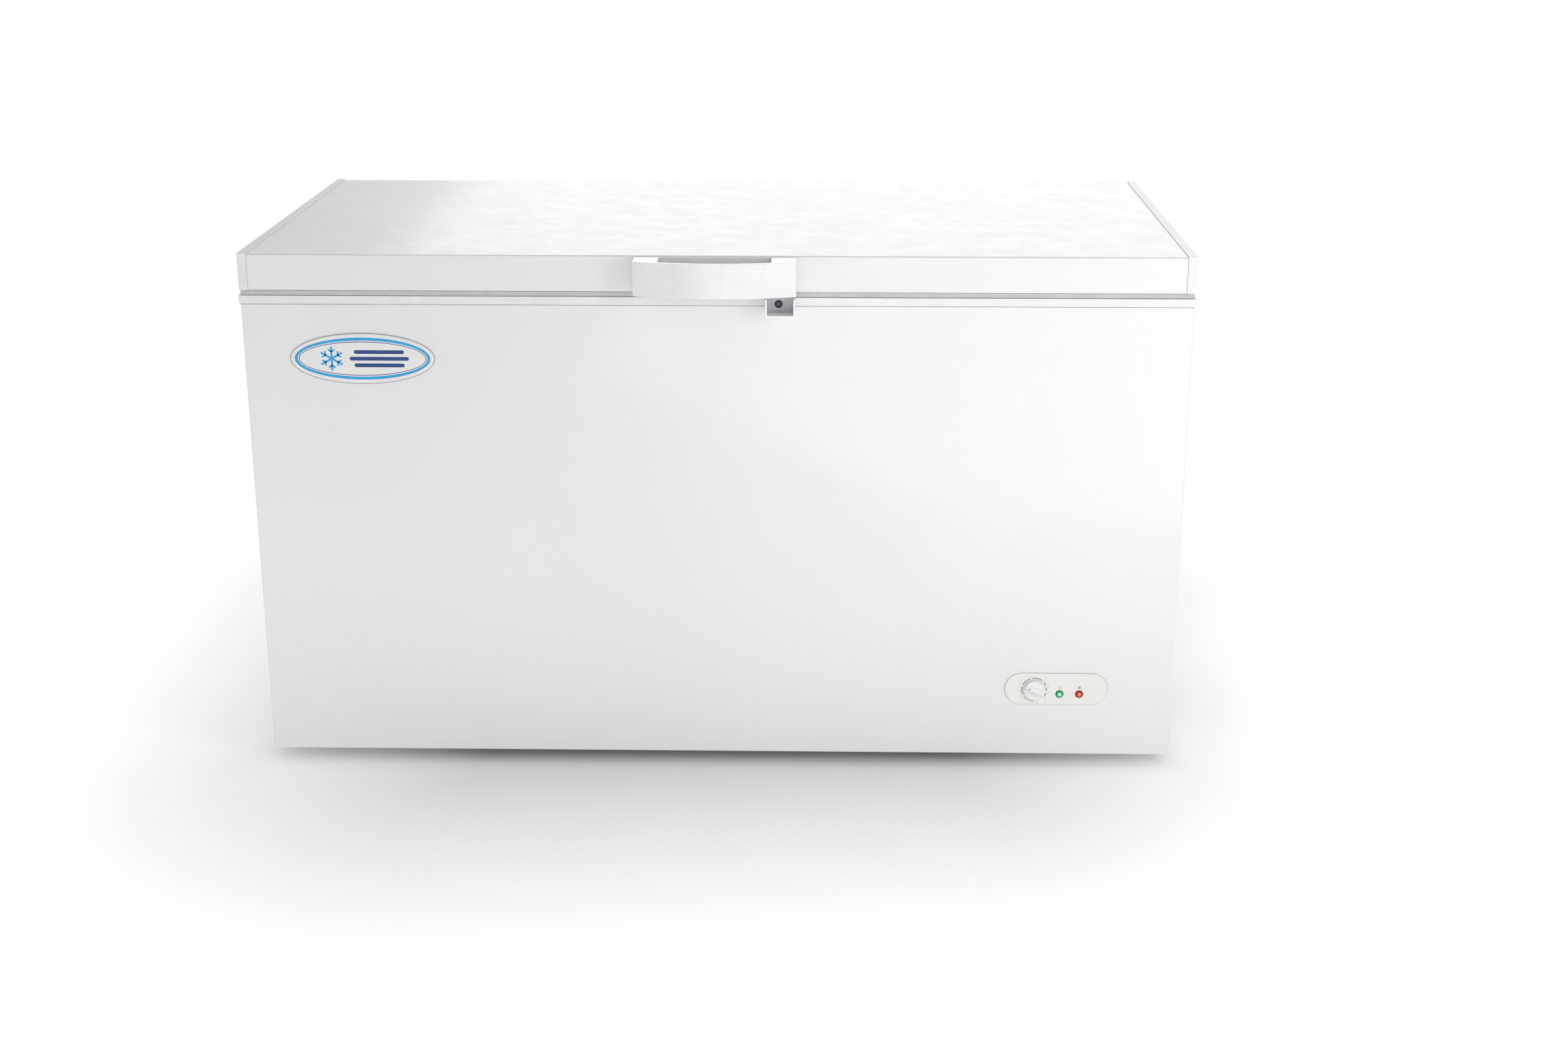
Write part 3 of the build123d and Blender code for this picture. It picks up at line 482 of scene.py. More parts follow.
def mesh_of(curve):
    holder = add_object("outline", curve)
    mesh = evaluated_mesh(holder)
    bpy.data.objects.remove(holder)
    return mesh


def tube_piece(name, points, radius, material, closed=False, bend=0.0, sides=8):
    """A round wire along straight runs, with rounded corners where a bend radius is given."""
    route = rounded_route([Vector(p) for p in points], bend, closed)
    curve = bpy.data.curves.new(name, "CURVE")
    curve.dimensions = "3D"
    spline = curve.splines.new("POLY")
    spline.points.add(len(route) - 1)
    for target, point in zip(spline.points, route):
        target.co = (*point, 1.0)
    spline.use_cyclic_u = closed
    curve.bevel_depth = radius
    curve.bevel_resolution = max(1, sides // 2 - 2)
    curve.use_fill_caps = not closed
    made = to_object(name, mesh_of(curve), material)
    made.data.shade_smooth()
    return made


def rounded_route(points, bend, closed=False):
    if not bend:
        return points
    count = len(points)
    route = []
    for index, point in enumerate(points):
        if not closed and index in (0, count - 1):
            route.append(point)
            continue
        before = (points[index - 1] - point).normalized()
        after = (points[(index + 1) % count] - point).normalized()
        half = before.angle(after) / 2
        reach = bend / tan(half)
        centre = point + (before + after).normalized() * bend / sin(half)
        first = point + before * reach - centre
        last = point + after * reach - centre
        for step in range(7):
            route.append(centre + first.slerp(last, step / 6).normalized() * bend)
    return route


# ---------- lid
def lid_panel():
    """Folded sheet: rear hem, back, top, front and front hem as one bent strip."""
    panel_low, panel_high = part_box("lid_panel")
    radius, sheet, hem, end_gap = 2.5 * MM, 0.8 * MM, 9 * MM, 0.2 * MM

    def strip(inset):
        r = radius - inset
        near, far = panel_low.y + inset, panel_high.y - inset
        top, bottom = panel_high.z - inset, panel_low.z + 0.3 * MM + inset
        front_fold = arc((near + r, bottom + r), r, 180, 270, 4)[::-1]
        front_corner = arc((near + r, top - r), r, 180, 90, 6)
        back_corner = arc((far - r, top - r), r, 90, 0, 6)
        back_fold = arc((far - r, bottom + r), r, 270, 360, 4)[::-1]
        folds = front_fold + front_corner + back_corner + back_fold
        return [(near + hem, bottom)] + folds + [(far - hem, bottom)]

    outline = strip(0.0) + strip(sheet)[::-1]
    panel = extruded("lid_panel_skin", outline, panel_low.x + end_gap, panel_high.x - end_gap,
                     MATERIALS["white_steel"], "X")
    smooth(panel)
    place(panel, "lid", "white_steel", "lid_panel")


def lid_caps():
    """Moulded end caps with a softened edge and a shallow recess in the outer face."""
    deep, margin, half_tall = 0.8 * MM, 30 * MM, 17 * MM
    for side, name in ((-1, "lid_cap_left"), (1, "lid_cap_right")):
        low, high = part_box(name)
        cap = box_piece(name + "_moulding", low, high, MATERIALS["white_plastic"])
        outer = low.x if side < 0 else high.x
        middle = (low.z + high.z) / 2
        carve(cap, box_cutter((outer - deep, low.y + margin, middle - half_tall),
                              (outer + deep, high.y - margin, middle + half_tall)))
        soften(cap, 1.1)
        place(cap, "lid", "white_plastic", name)


def gasket():
    """Magnetic seal: a flat band with soft lips and a hair's gap above and below."""
    low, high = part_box("lid_gasket")
    gap, wide = 0.4 * MM, 18 * MM
    bottom, top = low.z + gap, high.z - gap
    profile = [
        (wide, bottom), (1.0 * MM, bottom), (0.4 * MM, bottom + 0.2 * MM),
        (0.1 * MM, bottom + 0.7 * MM), (0.1 * MM, top - 0.7 * MM),
        (0.4 * MM, top - 0.2 * MM), (1.0 * MM, top), (wide, top),
    ]
    ring = rim_sweep("lid_seal", profile, low, high, 3 * MM, MATERIALS["grey_gasket"])
    place(ring, "lid", "grey_gasket", "lid_gasket")


def corner_centres(low, high, radius):
    """Centres of a rectangle's four round corners, each with its first angle in degrees."""
    return [(high[0] - radius, low[1] + radius, -90), (high[0] - radius, high[1] - radius, 0),
            (low[0] + radius, high[1] - radius, 90), (low[0] + radius, low[1] + radius, 180)]


def rim_sweep(name, profile, low, high, corner, material):
    """Runs a profile (inset, z) round a rectangle with rounded corners."""
    stations = []
    for x, y, start in corner_centres(low, high, corner):
        for step in range(7):
            angle = radians(start + 15 * step)
            stations.append((x, y, cos(angle), sin(angle)))
    middle_y = (low.y + high.y) / 2
    points = []
    for x, y, c, s in stations:
        corner_side = (1 if x > 0 else -1, 1 if y > middle_y else -1)
        for inset, z in profile:
            reach = corner - inset
            side_x, side_y = (c, s) if reach >= 0 else corner_side
            points.append((x + reach * side_x, y + reach * side_y, z))
    faces = band_faces(len(stations), len(profile), closed=True)
    return smooth(outward(from_faces(name, points, faces, material), weld=1e-6), 40)


def rounded_rect(low, high, radius):
    outline = []
    for x, y, start in corner_centres(low, high, radius):
        outline += arc((x, y), radius, start, start + 90, 8)
    return outline


def collar():
    """Plastic rim of the cabinet: a soft-edged lip over a hair's gap, with a black strip behind the
    gap as painted shade.
    """
    low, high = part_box("top_frame")
    liner_low, liner_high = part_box("inner_liner")
    lock_low, lock_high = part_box("lock_housing")
    hook_low, hook_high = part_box("lock_striker")
    white = MATERIALS["white_plastic"]
    wall, gap, sheet, corner = 2.5 * MM, 1.0 * MM, 1.0 * MM, 4 * MM
    under, below = high.z - wall, low.z - OVER
    inward, sheet_inward = Vector((wall, wall, 0)), Vector((sheet, sheet, 0))

    rim = extruded("collar", rounded_rect(low, high, corner), low.z + gap, high.z, white)
    hollow_outline = rounded_rect(low + inward, high - inward, 1.5 * MM)
    hollow = extruded("cutter", hollow_outline, below, under, white)
    mouth_outline = rounded_rect(liner_low + sheet_inward, liner_high - sheet_inward, 22 * MM)
    mouth = extruded("cutter", mouth_outline, below, high.z + OVER, white)
    notch = ((lock_low.x + 8 * MM, low.y - OVER, below),
             (lock_high.x - 8 * MM, low.y + 4 * MM, under))
    slot = box_cutter((hook_low.x - 4 * MM, low.y + 23 * MM, below),
                      (hook_high.x, low.y + 31 * MM, high.z + OVER))
    carve(rim, hollow, mouth, box_cutter(*notch), slot)
    soften(rim, 0.6)

    # Painted shade: a black strip just behind the hair's gap makes the gap read as a dark line.
    near, far, top = wall + 0.1 * MM, wall + 1.2 * MM, low.z + 5 * MM
    profile = [(near, low.z), (near, top), (far, top), (far, low.z)]
    gap_shade_strip = rim_sweep("collar_gap_shade", profile, low, high, corner, MATERIALS["black_rubber"])
    carve(gap_shade_strip, box_cutter(*notch))
    place(join("collar", [rim, gap_shade_strip]), "cabinet", "white_plastic", "top_frame")


def handle():
    """Bow-fronted pull with a finger pocket above, a hollow below and a step at the back."""
    low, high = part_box("handle")
    half, back = high.x, high.y
    ends, reach, wall = 40 * MM, 60 * MM, 7.5 * MM
    pocket_half, pocket_deep, hollow_deep = 86 * MM, 12 * MM, 34 * MM
    sag = reach - ends
    radius = (half * half + sag * sag) / (2 * sag)
    centre = (0.0, LID_FRONT - reach + radius)

    def bow(half_wide, bow_radius, rear, steps):
        spread = degrees(asin(half_wide / bow_radius))
        front = arc(centre, bow_radius, 270 - spread, 270 + spread, steps)
        return front + [(half_wide, rear), (-half_wide, rear)]

    body = extruded("handle_pull", bow(half, radius, back, 48), low.z, high.z, HANDLE_WHITE)
    pocket = bow(pocket_half, radius - wall, LID_FRONT - 5 * MM, 40)
    hollow = bow(pocket_half, radius - wall, LID_FRONT - 12 * MM, 40)
    carve(body,
          extruded("cutter", pocket, high.z - pocket_deep, high.z + OVER, HANDLE_WHITE),
          extruded("cutter", hollow, low.z - OVER, low.z + hollow_deep, HANDLE_WHITE),
          box_cutter((-half - 1, LID_FRONT - 2.2 * MM, high.z - 1.0 * MM),
                     (half + 1, back + 1, high.z + 1)))
    soften(body, 1.0)
    place(body, "lid", "white_plastic", "handle")


# ---------- front fittings
def lock():
    """Shroud with a grey plate, and the key barrel with its rings."""
    low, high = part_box("lock_housing")
    barrel_low, barrel_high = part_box("lock_cylinder")
    plate_low, plate_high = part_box("lock_plate")
    axis_x, _, axis_z = middle_of(barrel_low, barrel_high)
    wall, boss_x, boss_z = 2.7 * MM, 10 * MM, 9.5 * MM
    floor_z = low.z + wall

    def bore():
        return bore_cutter(6.05 * MM, 0.03, (axis_x, FRONT, axis_z), 48)

    # The shroud's paler white is painted light for its floor, which lies in the handle's shade.
    shroud = box_piece("lock_shroud", low, high, SHROUD_PAINTED_LIGHT)
    hollow = box_cutter((low.x + wall, low.y - OVER, floor_z),
                        (high.x - wall, FRONT - 6 * MM, high.z + OVER))
    notch = box_cutter((low.x + 9 * MM, low.y + 8 * MM, floor_z - 0.7 * MM),
                       (high.x - 11 * MM, low.y + 10 * MM, floor_z + OVER))
    carve(shroud, hollow, notch, bore())
    soften(shroud, 0.8)
    place(shroud, "cabinet", "white_plastic", "lock_housing")

    grey = MATERIALS["grey_plastic"]
    plate = box_piece("lock_backplate", (plate_low.x, plate_low.y + 1 * MM, plate_low.z),
                      plate_high, grey)
    boss = box_piece("boss", (axis_x - boss_x, plate_low.y, axis_z - boss_z),
                     (axis_x + boss_x, plate_low.y + 1.2 * MM, axis_z + boss_z), grey)
    for part in (plate, boss):
        carve(part, bore())
        soften(part, 0.35, 2)
    place(join("lock_plate_grey", [plate, boss]), "cabinet", "grey_plastic", "lock_plate")

    face = barrel_low.y
    spot = (axis_x, face, axis_z)
    outer = [(5.95, (barrel_high.y - face) / MM), (5.95, 1.4), (5.4, 0.4), (4.4, 0.0),
             (3.3, 0.6), (3.0, 1.4), (2.8, 1.6)]
    edge = [(2.9, 1.8), (2.9, 1.0), (2.6, 0.7), (2.2, 0.7), (2.0, 1.0), (2.0, 3.0)]
    barrel = turned("barrel_ring", outer, spot, LOCK_BLACK, 48, 30)
    bright = turned("key_ring", edge, spot, LOCK_GREY, 40, 30)
    middle = [(2.05 * MM, 3.0 * MM), (2.05 * MM, 1.9 * MM), (1.9 * MM, 1.7 * MM)]
    core = lathe("core", middle, spot, "Y", LOCK_BLACK, 32)
    carve(core, box_cutter((axis_x - 0.6 * MM, face - OVER, axis_z - 1.6 * MM),
                           (axis_x + 0.6 * MM, face + 2.6 * MM, axis_z + 1.6 * MM)))
    smooth(core, 30)
    place(join("lock_barrel", [barrel, bright, core]), "lock_barrel", "lock_metal",
          "lock_cylinder")


def badge():
    """Domed oval plate with a plain ring, a snowflake and three bars."""
    low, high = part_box("badge")
    centre = Vector(middle_of(low, high))
    centre.y = high.y
    half_x, half_z = (high.x - low.x) / 2, (high.z - low.z) / 2
    deep, steps = high.y - low.y, 96
    # Inset in millimetres, and the share of the full depth reached there.
    dome = [(0, 0), (0, 0.45), (0.5, 0.72), (1.6, 0.86), (4, 0.9), (14, 0.92), (30, 0.94)]

    def oval(inset):
        return half_x - inset * MM, half_z - inset * MM

    points = []
    for inset, rise in dome:
        outline = arc((0, 0), oval(inset), 0, 360, steps)[:-1]
        points += [centre + Vector((x, -deep * rise, z)) for x, z in outline]
    plate = closed_rings("badge_plate", points, len(dome), steps, MATERIALS["badge_plastic"])
    place(smooth(plate, 60), "cabinet", "badge_plastic", "badge")

    face = centre.y - deep * 0.9
    spot = (centre.x, centre.z)
    marks = [ring_print("badge_rim", spot, oval(0.1), oval(1.0), centre.y - 0.3 * MM,
                        centre.y - deep * 0.82, INKS["grey"])]
    for outer, thick, ink in ((7.0, 4.6, "blue"), (13.2, 1.1, "navy")):
        marks.append(ring_print("badge_line", spot, oval(outer), oval(outer + thick),
                                face + 0.2 * MM, centre.y - deep * 0.965, INKS[ink]))
    flake = (centre.x - 48 * MM, centre.z)
    marks += snowflake("flake", flake, 19 * MM, 3.0 * MM, face, INKS["blue"])
    for row, width in ((10.5, 78), (0, 92), (-10.5, 78)):
        bar = stadium((centre.x + 26 * MM, centre.z + row * MM), width * MM, 6.0 * MM, 10)
        marks.append(extruded("bar", bar, face + 0.3 * MM, centre.y - deep * 0.985,
                              INKS["navy"], "Y"))
    place(join("badge_print", marks), "cabinet", "badge_plastic")


def ring_print(name, centre, outer, inner, near, far, ink, start=0.0, end=360.0, steps=96):
    """A thin printed ring or arc standing between two depths."""
    first = arc(centre, outer, start, end, steps)
    second = arc(centre, inner, start, end, steps)
    points, faces = [], []
    for depth in (near, far):
        points += [(x, depth, z) for x, z in first] + [(x, depth, z) for x, z in second]
    row = steps + 1
    for i in range(steps):
        a, b = i, i + 1
        faces += [(a, b, row + b, row + a), (2 * row + a, 3 * row + a, 3 * row + b, 2 * row + b)]
        faces += [(a, 2 * row + a, 2 * row + b, b), (row + a, row + b, 3 * row + b, 3 * row + a)]
    if end - start < 360:
        for a in (0, steps):
            faces.append((a, row + a, 3 * row + a, 2 * row + a))
    return outward(from_faces(name, points, faces, ink), weld=1e-7)


def stroke(name, start, end, width, depth, thick, ink):
    """A straight printed stroke in the front plane between two points."""
    a, b = Vector(start), Vector(end)
    side = Vector((-(b - a).y, (b - a).x)).normalized() * width / 2
    outline = [tuple(a + side), tuple(a - side), tuple(b - side), tuple(b + side)]
    return extruded(name, outline, depth + 0.3 * MM, depth - thick, ink, "Y")


def snowflake(name, centre, radius, width, depth, ink, thick=0.17 * MM):
    parts = []
    for arm in range(6):
        angle = radians(90 + 60 * arm)
        out = Vector((cos(angle), sin(angle)))
        base = Vector(centre)
        lift = thick + 0.004 * MM * arm
        parts.append(stroke(name, base, base + out * radius, width, depth, lift, ink))
        for turn in (-55, 55):
            branch = Matrix.Rotation(radians(turn), 2) @ out
            root = base + out * radius * 0.56
            tip = root + branch * radius * 0.34
            parts.append(stroke(name, root, tip, width * 0.8, depth, lift, ink))
    return parts


def control_panel():
    """Ivory bezel with its printed dial, generic icons, lamp seats and a grey ring of painted shade
    round its edge.
    """
    low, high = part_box("control_panel")
    lamp_boxes = [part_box("power_lamp"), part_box("run_lamp")]
    centre = middle_of(low, high)[::2]
    knob_at = middle_of(*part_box("thermostat_knob"))[::2]
    long, tall, front = high.x - low.x, high.z - low.z, low.y
    shade_line_back = front + 1.3 * MM
    ivory, ink, thick = MATERIALS["ivory_plastic"], INKS["grey"], 0.1 * MM

    def layer(name, narrower, near, far, material):
        outline = stadium(centre, long - narrower * MM, tall - narrower * MM)
        return extruded(name, outline, near, far, material, "Y")

    def dial_arc(name, color, start, end, steps):
        return ring_print(name, knob_at, 20.6 * MM, 19.3 * MM, front + 0.2 * MM, front - thick,
                          color, start, end, steps)

    cutters = [bore_cutter(3.05 * MM, 0.02, (knob_at[0], front, knob_at[1]), 32)]
    for lamp_low, lamp_high in lamp_boxes:
        middle = (lamp_low + lamp_high) / 2
        cutters.append(bore_cutter(6.42 * MM, 0.02, (middle.x, front, middle.z), 48))
    plate = layer("control_bezel", 1.3, front, high.y, ivory)
    carve(plate, *cutters)
    soften(plate, 0.45)
    # Painted shade: a grey ring just behind the bezel's edge darkens the gap round it.
    line = layer("control_shade_line", 0.2, front + 0.9 * MM, shade_line_back, INKS["edge_shade"])
    skirt = layer("control_skirt", 0.0, shade_line_back, FRONT + 0.2 * MM, ivory)
    for ring in (line, skirt):
        carve(ring, layer("cutter", 1.2, front - OVER, front + 0.05, ivory))
    place(join("control_bezel", [plate, line, skirt]), "cabinet", "ivory_plastic",
          "control_panel")

    stops, gap = [-40, -11, 15, 45, 104.5, 161, 210], 5.5
    marks = [dial_arc("arc", ink, first + gap, last - gap, 24)
             for first, last in zip(stops, stops[1:])]
    for index in range(5):
        start = 220 + 9.5 * index
        marks.append(dial_arc("dash", ink, start, start + 5.2, 6))
    for number, angle in zip((7, 6, 5, 4, 3, 2, 1, 0), stops + [283.5]):
        turn, reach = radians(angle), 23.4 * MM
        spot = (knob_at[0] + reach * cos(turn), knob_at[1] + reach * sin(turn))
        marks.append(digit(str(number), spot, 3.3 * MM, front, thick, ink))
    power_x, run_x = (middle_of(*box)[0] for box in lamp_boxes)
    above = lamp_boxes[0][1].z + 4.6 * MM
    marks.append(ring_print("power", (power_x, above), 2.6 * MM, 2.1 * MM, front + 0.2 * MM,
                            front - thick, ink, 120, 420, 32))
    marks.append(stroke("power", (power_x, above + 0.6 * MM), (power_x, above + 3.4 * MM),
                        0.5 * MM, front, thick, ink))
    marks += snowflake("cold", (run_x, above + 0.2 * MM), 3.1 * MM, 0.45 * MM, front, ink, thick)
    place(join("control_print", marks), "cabinet", "ivory_plastic")
    red = dial_arc("control_tick", INKS["red"], 266, 269.5, 6)
    place(red, "cabinet", "ivory_plastic")


def digit(text, centre, size, depth, thick, ink):
    """A dial number as thin raised ink."""
    curve = bpy.data.curves.new("digit", "FONT")
    curve.body = text
    curve.size = size
    curve.align_x, curve.align_y = "CENTER", "CENTER"
    curve.extrude = thick / 2
    curve.resolution_u = 3
    mesh = mesh_of(curve)
    spot = Matrix.Translation((centre[0], depth - thick / 2, centre[1]))
    mesh.transform(spot @ Matrix.Rotation(pi / 2, 4, "X"))
    return to_object("digit_" + text, mesh, ink)


def knob():
    """Dial: round skirt, crowned face and a steep-sided pointer ridge with a red dot."""
    low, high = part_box("thermostat_knob")
    radius = (high.x - low.x) / 2
    middle = Vector(middle_of(low, high))
    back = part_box("control_panel")[0].y - 0.4 * MM
    tilt = radians(155)
    along = Vector((cos(tilt), sin(tilt)))
    across = Vector((along.y, -along.x))

    def rise(x, z):
        """Height over the back: a long gentle slope on one side, a steep one on the other."""
        point = Vector((x, z))
        side, run = point.dot(across), point.dot(along)
        crest = 13.5 * MM * (1 - 0.25 * (run / radius) ** 2)
        shoulder, slope = (7.6 * MM, 12 * MM) if side >= 0 else (5.4 * MM, 3.4 * MM)
        share = min(1.0, abs(side) / slope)
        level = crest + (shoulder - crest) * (share * share * (3 - 2 * share))
        edge = max(0.0, (hypot(x, z) / radius - 0.9) / 0.1)
        return level - 1.2 * MM * edge ** 2

    rings, steps = 26, 96
    points = []
    for ring in range(1, rings + 1):
        r = radius * ring / rings
        for index in range(steps):
            angle = 2 * pi * index / steps
            x, z = r * cos(angle), r * sin(angle)
            points.append((middle.x + x, back - rise(x, z), middle.z + z))
    for x, z in arc((middle.x, middle.z), radius, 0, 360, steps)[:-1]:
        points.append((x, back, z))
    points.append((middle.x, back - rise(0, 0), middle.z))
    top = len(points) - 1
    faces = band_faces(rings + 1, steps)
    faces += [(top, (index + 1) % steps, index) for index in range(steps)]
    faces.append(tuple(range(rings * steps, (rings + 1) * steps)))
    plastic = MATERIALS["knob_plastic"]
    face = smooth(outward(from_faces("dial_knob", points, faces, plastic)), 40)
    stem_profile = [(2.98, 0.0), (2.98, (high.y - back) / MM)]
    stem = turned("stem", stem_profile, (middle.x, back, middle.z), plastic, 32, 30)
    spot = along * radius * 0.55 + across * 1.4 * MM
    dot_centre = (middle.x + spot.x, back - rise(*spot), middle.z + spot.y)
    dot_profile = [(1.25, 0.4), (1.25, -0.05), (0.9, -0.16), (0.4, -0.2)]
    dot = turned("dot", dot_profile, dot_centre, INKS["red"], 24, 50)
    place(join("dial_knob", [face, stem, dot]), "thermostat_knob", "knob_plastic",
          "thermostat_knob")


def lamps():
    """Domed lenses, lit: a deep rim, a clear band and a bright core, each with its height."""
    rim = [(6.3, 2.4), (6.0, 1.8), (5.5, 1.2), (4.9, 0.7), (4.7, 0.6), (4.7, 3.0)]
    band = [(4.7, 3.0), (4.7, 0.6), (3.8, 0.35), (2.6, 0.2), (2.6, 3.0)]
    core = [(2.6, 3.0), (2.6, 0.2), (1.8, 0.05), (0.9, 0.0)]
    for name, slot in (("power_lamp", "green_lens"), ("run_lamp", "red_lens")):
        low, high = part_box(name)
        middle = (low + high) / 2
        seat = [(6.3, (high.y - low.y) / MM)]
        zones = (("rim", seat + rim, MATERIALS[slot]), ("band", band, BANDS[slot]),
                 ("core", core, CORES[slot]))
        parts = [turned("lens_" + zone, profile, (middle.x, low.y, middle.z), material,
                        48, 50) for zone, profile, material in zones]
        place(join(name + "_lens", parts), "cabinet", slot, name)


# ---------- fasteners, hinges, feet, vents
def islands(mesh):
    """The points of a mesh, one list for each of its separate pieces."""
    work = bmesh.new()
    work.from_mesh(mesh)
    seen, clouds = set(), []
    for vert in work.verts:
        if vert in seen:
            continue
        cloud, queue = [], [vert]
        seen.add(vert)
        while queue:
            at = queue.pop()
            cloud.append(at.co.copy())
            for edge in at.link_edges:
                other = edge.other_vert(at)
                if other not in seen:
                    seen.add(other)
                    queue.append(other)
        clouds.append(cloud)
    work.free()
    return clouds


def screw_heads(name, node, body):
    """Pan heads with crossed slots in place of the plain ones."""
    groups = []
    for cloud in islands(nodes[node].data):
        x, z = sum(p.x for p in cloud) / len(cloud), sum(p.z for p in cloud) / len(cloud)
        back = max(p.y for p in cloud)
        for group_x, group_z, group in groups:
            near = abs(group_x - x) < 2 * MM and abs(group_z - z) < 2 * MM
            if near and abs(back - max(p.y for p in group)) < 0.03:
                group.extend(cloud)
                break
        else:
            groups.append((x, z, cloud))
    heads = []
    for x, z, cloud in groups:
        low, high = min(p.y for p in cloud), max(p.y for p in cloud)
        wide_at_high = max(hypot(p.x - x, p.z - z) for p in cloud if high - p.y < 1 * MM)
        out = 1 if wide_at_high > 3 * MM else -1
        tip, end = (high, low) if out > 0 else (low, high)
        seat = tip - out * 2.4 * MM
        profile = [(1.85, end), (1.85, seat), (4.4, seat), (4.45, seat + out * 0.5 * MM),
                   (4.2, seat + out * 1.3 * MM), (3.4, seat + out * 2.0 * MM), (1.8, tip)]
        head = lathe("head", [(r * MM, y) for r, y in profile], (x, 0, z), "Y",
                     MATERIALS["zinc_steel"], 24)
        near, far = sorted((tip - out * 1.1 * MM, tip + out * 1 * MM))
        for wide, tall in ((2.3, 0.45), (0.45, 2.3)):
            carve(head, box_cutter((x - wide * MM, near, z - tall * MM),
                                   (x + wide * MM, far, z + tall * MM)))
        heads.append(smooth(head, 35))
    place(join(name, heads), body, "zinc_steel", node)


def feet():
    """Levelling feet: ribbed pad, hexagon collar and a threaded stem."""
    black = MATERIALS["black_plastic"]
    pad_profile = [(19.2, 0), (20, 0.8), (20, 3.2), (19.0, 3.6), (19.0, 4.4), (20, 4.8),
                   (20, 7.6), (18.4, 9.6), (14, 11.2), (10.5, 11.8)]
    for corner in ("front_left", "front_right", "rear_left", "rear_right"):
        name = "foot_" + corner
        low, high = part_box(name)
        x, y, _ = middle_of(low, high)
        pad = turned("pad", pad_profile, (x, y, 0), black, 64, 45, "Z")
        hexagon = arc((x, y), 9.5 * MM, 0, 300, 5)
        nut = soften(extruded("nut", hexagon, 11.5 * MM, 17 * MM, black), 0.5, 2)
        stem = thread("stem", (x, y), 16.5 * MM, high.z, 4.9 * MM, 1.5 * MM)
        place(join(name + "_pad", [pad, nut, stem]), name, "black_plastic", name)


def thread(name, centre, low, high, radius, pitch):
    """A screw thread as stacked turns of a V profile."""
    root = radius - 0.45 * MM
    turns = int((high - low) / pitch)
    profile = []
    for turn in range(turns):
        z = low + turn * pitch
        profile += [(root, z), (radius, z + 0.5 * pitch)]
    profile.append((root, low + turns * pitch))
    return smooth(lathe(name, profile, (*centre, 0), "Z", MATERIALS["zinc_steel"], 24), 20)


def hinge_covers():
    """Moulded spring covers with grip ribs."""
    white, wall = MATERIALS["white_plastic"], 1.6 * MM
    for side in ("left", "right"):
        name = "hinge_cover_" + side
        low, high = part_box(name)
        cover = box_piece("cover", low, high, white)
        carve(cover, box_cutter((low.x + wall, low.y - OVER, low.z + wall),
                                (high.x - wall, high.y - wall, high.z + OVER)))
        soften(cover, 0.7)
        parts = [cover]
        for index in range(7):
            z = low.z + 14 * MM + index * 6 * MM
            rib = box_piece("rib", (low.x + 12 * MM, high.y - 0.8 * MM, z),
                            (high.x - 12 * MM, high.y - 0.02 * MM, z + 2 * MM), white)
            parts.append(soften(rib, 0.3, 2))
        place(join(name + "_box", parts), "cabinet", "white_plastic", name)


def side_grille():
    """Framed grille with slanted louvres."""
    low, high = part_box("side_grille")
    white = MATERIALS["white_plastic"]
    margin_y, margin_z, count = 10 * MM, 8 * MM, 12
    surround = box_piece("grille", low, high, white)
    carve(surround, box_cutter((low.x - OVER, low.y + margin_y, low.z + margin_z),
                               (high.x + OVER, high.y - margin_y, high.z - margin_z)))
    soften(surround, 0.4, 2)
    parts = [surround]
    pitch = (high.z - low.z - 2 * margin_z) / count
    for index in range(count):
        z = low.z + margin_z + pitch * (index + 0.5)
        outline = [(low.x + 0.4 * MM, z + 4.2 * MM), (low.x + 0.4 * MM, z + 2.6 * MM),
                   (high.x - 0.3 * MM, z - 4.2 * MM), (high.x - 0.3 * MM, z - 2.6 * MM)]
        points = [(x, y, level) for y in (low.y + 9 * MM, high.y - 9 * MM)
                  for x, level in outline]
        faces = [(0, 1, 2, 3), (7, 6, 5, 4)]
        faces += [(i, i + 4, (i + 1) % 4 + 4, (i + 1) % 4) for i in range(4)]
        parts.append(outward(from_faces("louvre", points, faces, white)))
    for y in ((low.y * 2 + high.y) / 3, (low.y + high.y * 2) / 3):
        parts.append(box_piece("bar", (low.x + 0.2 * MM, y - 2 * MM, low.z + 7 * MM),
                               (low.x + 1.6 * MM, y + 2 * MM, high.z - 7 * MM), white))
    place(join("grille_louvres", parts), "cabinet", "white_plastic", "side_grille")


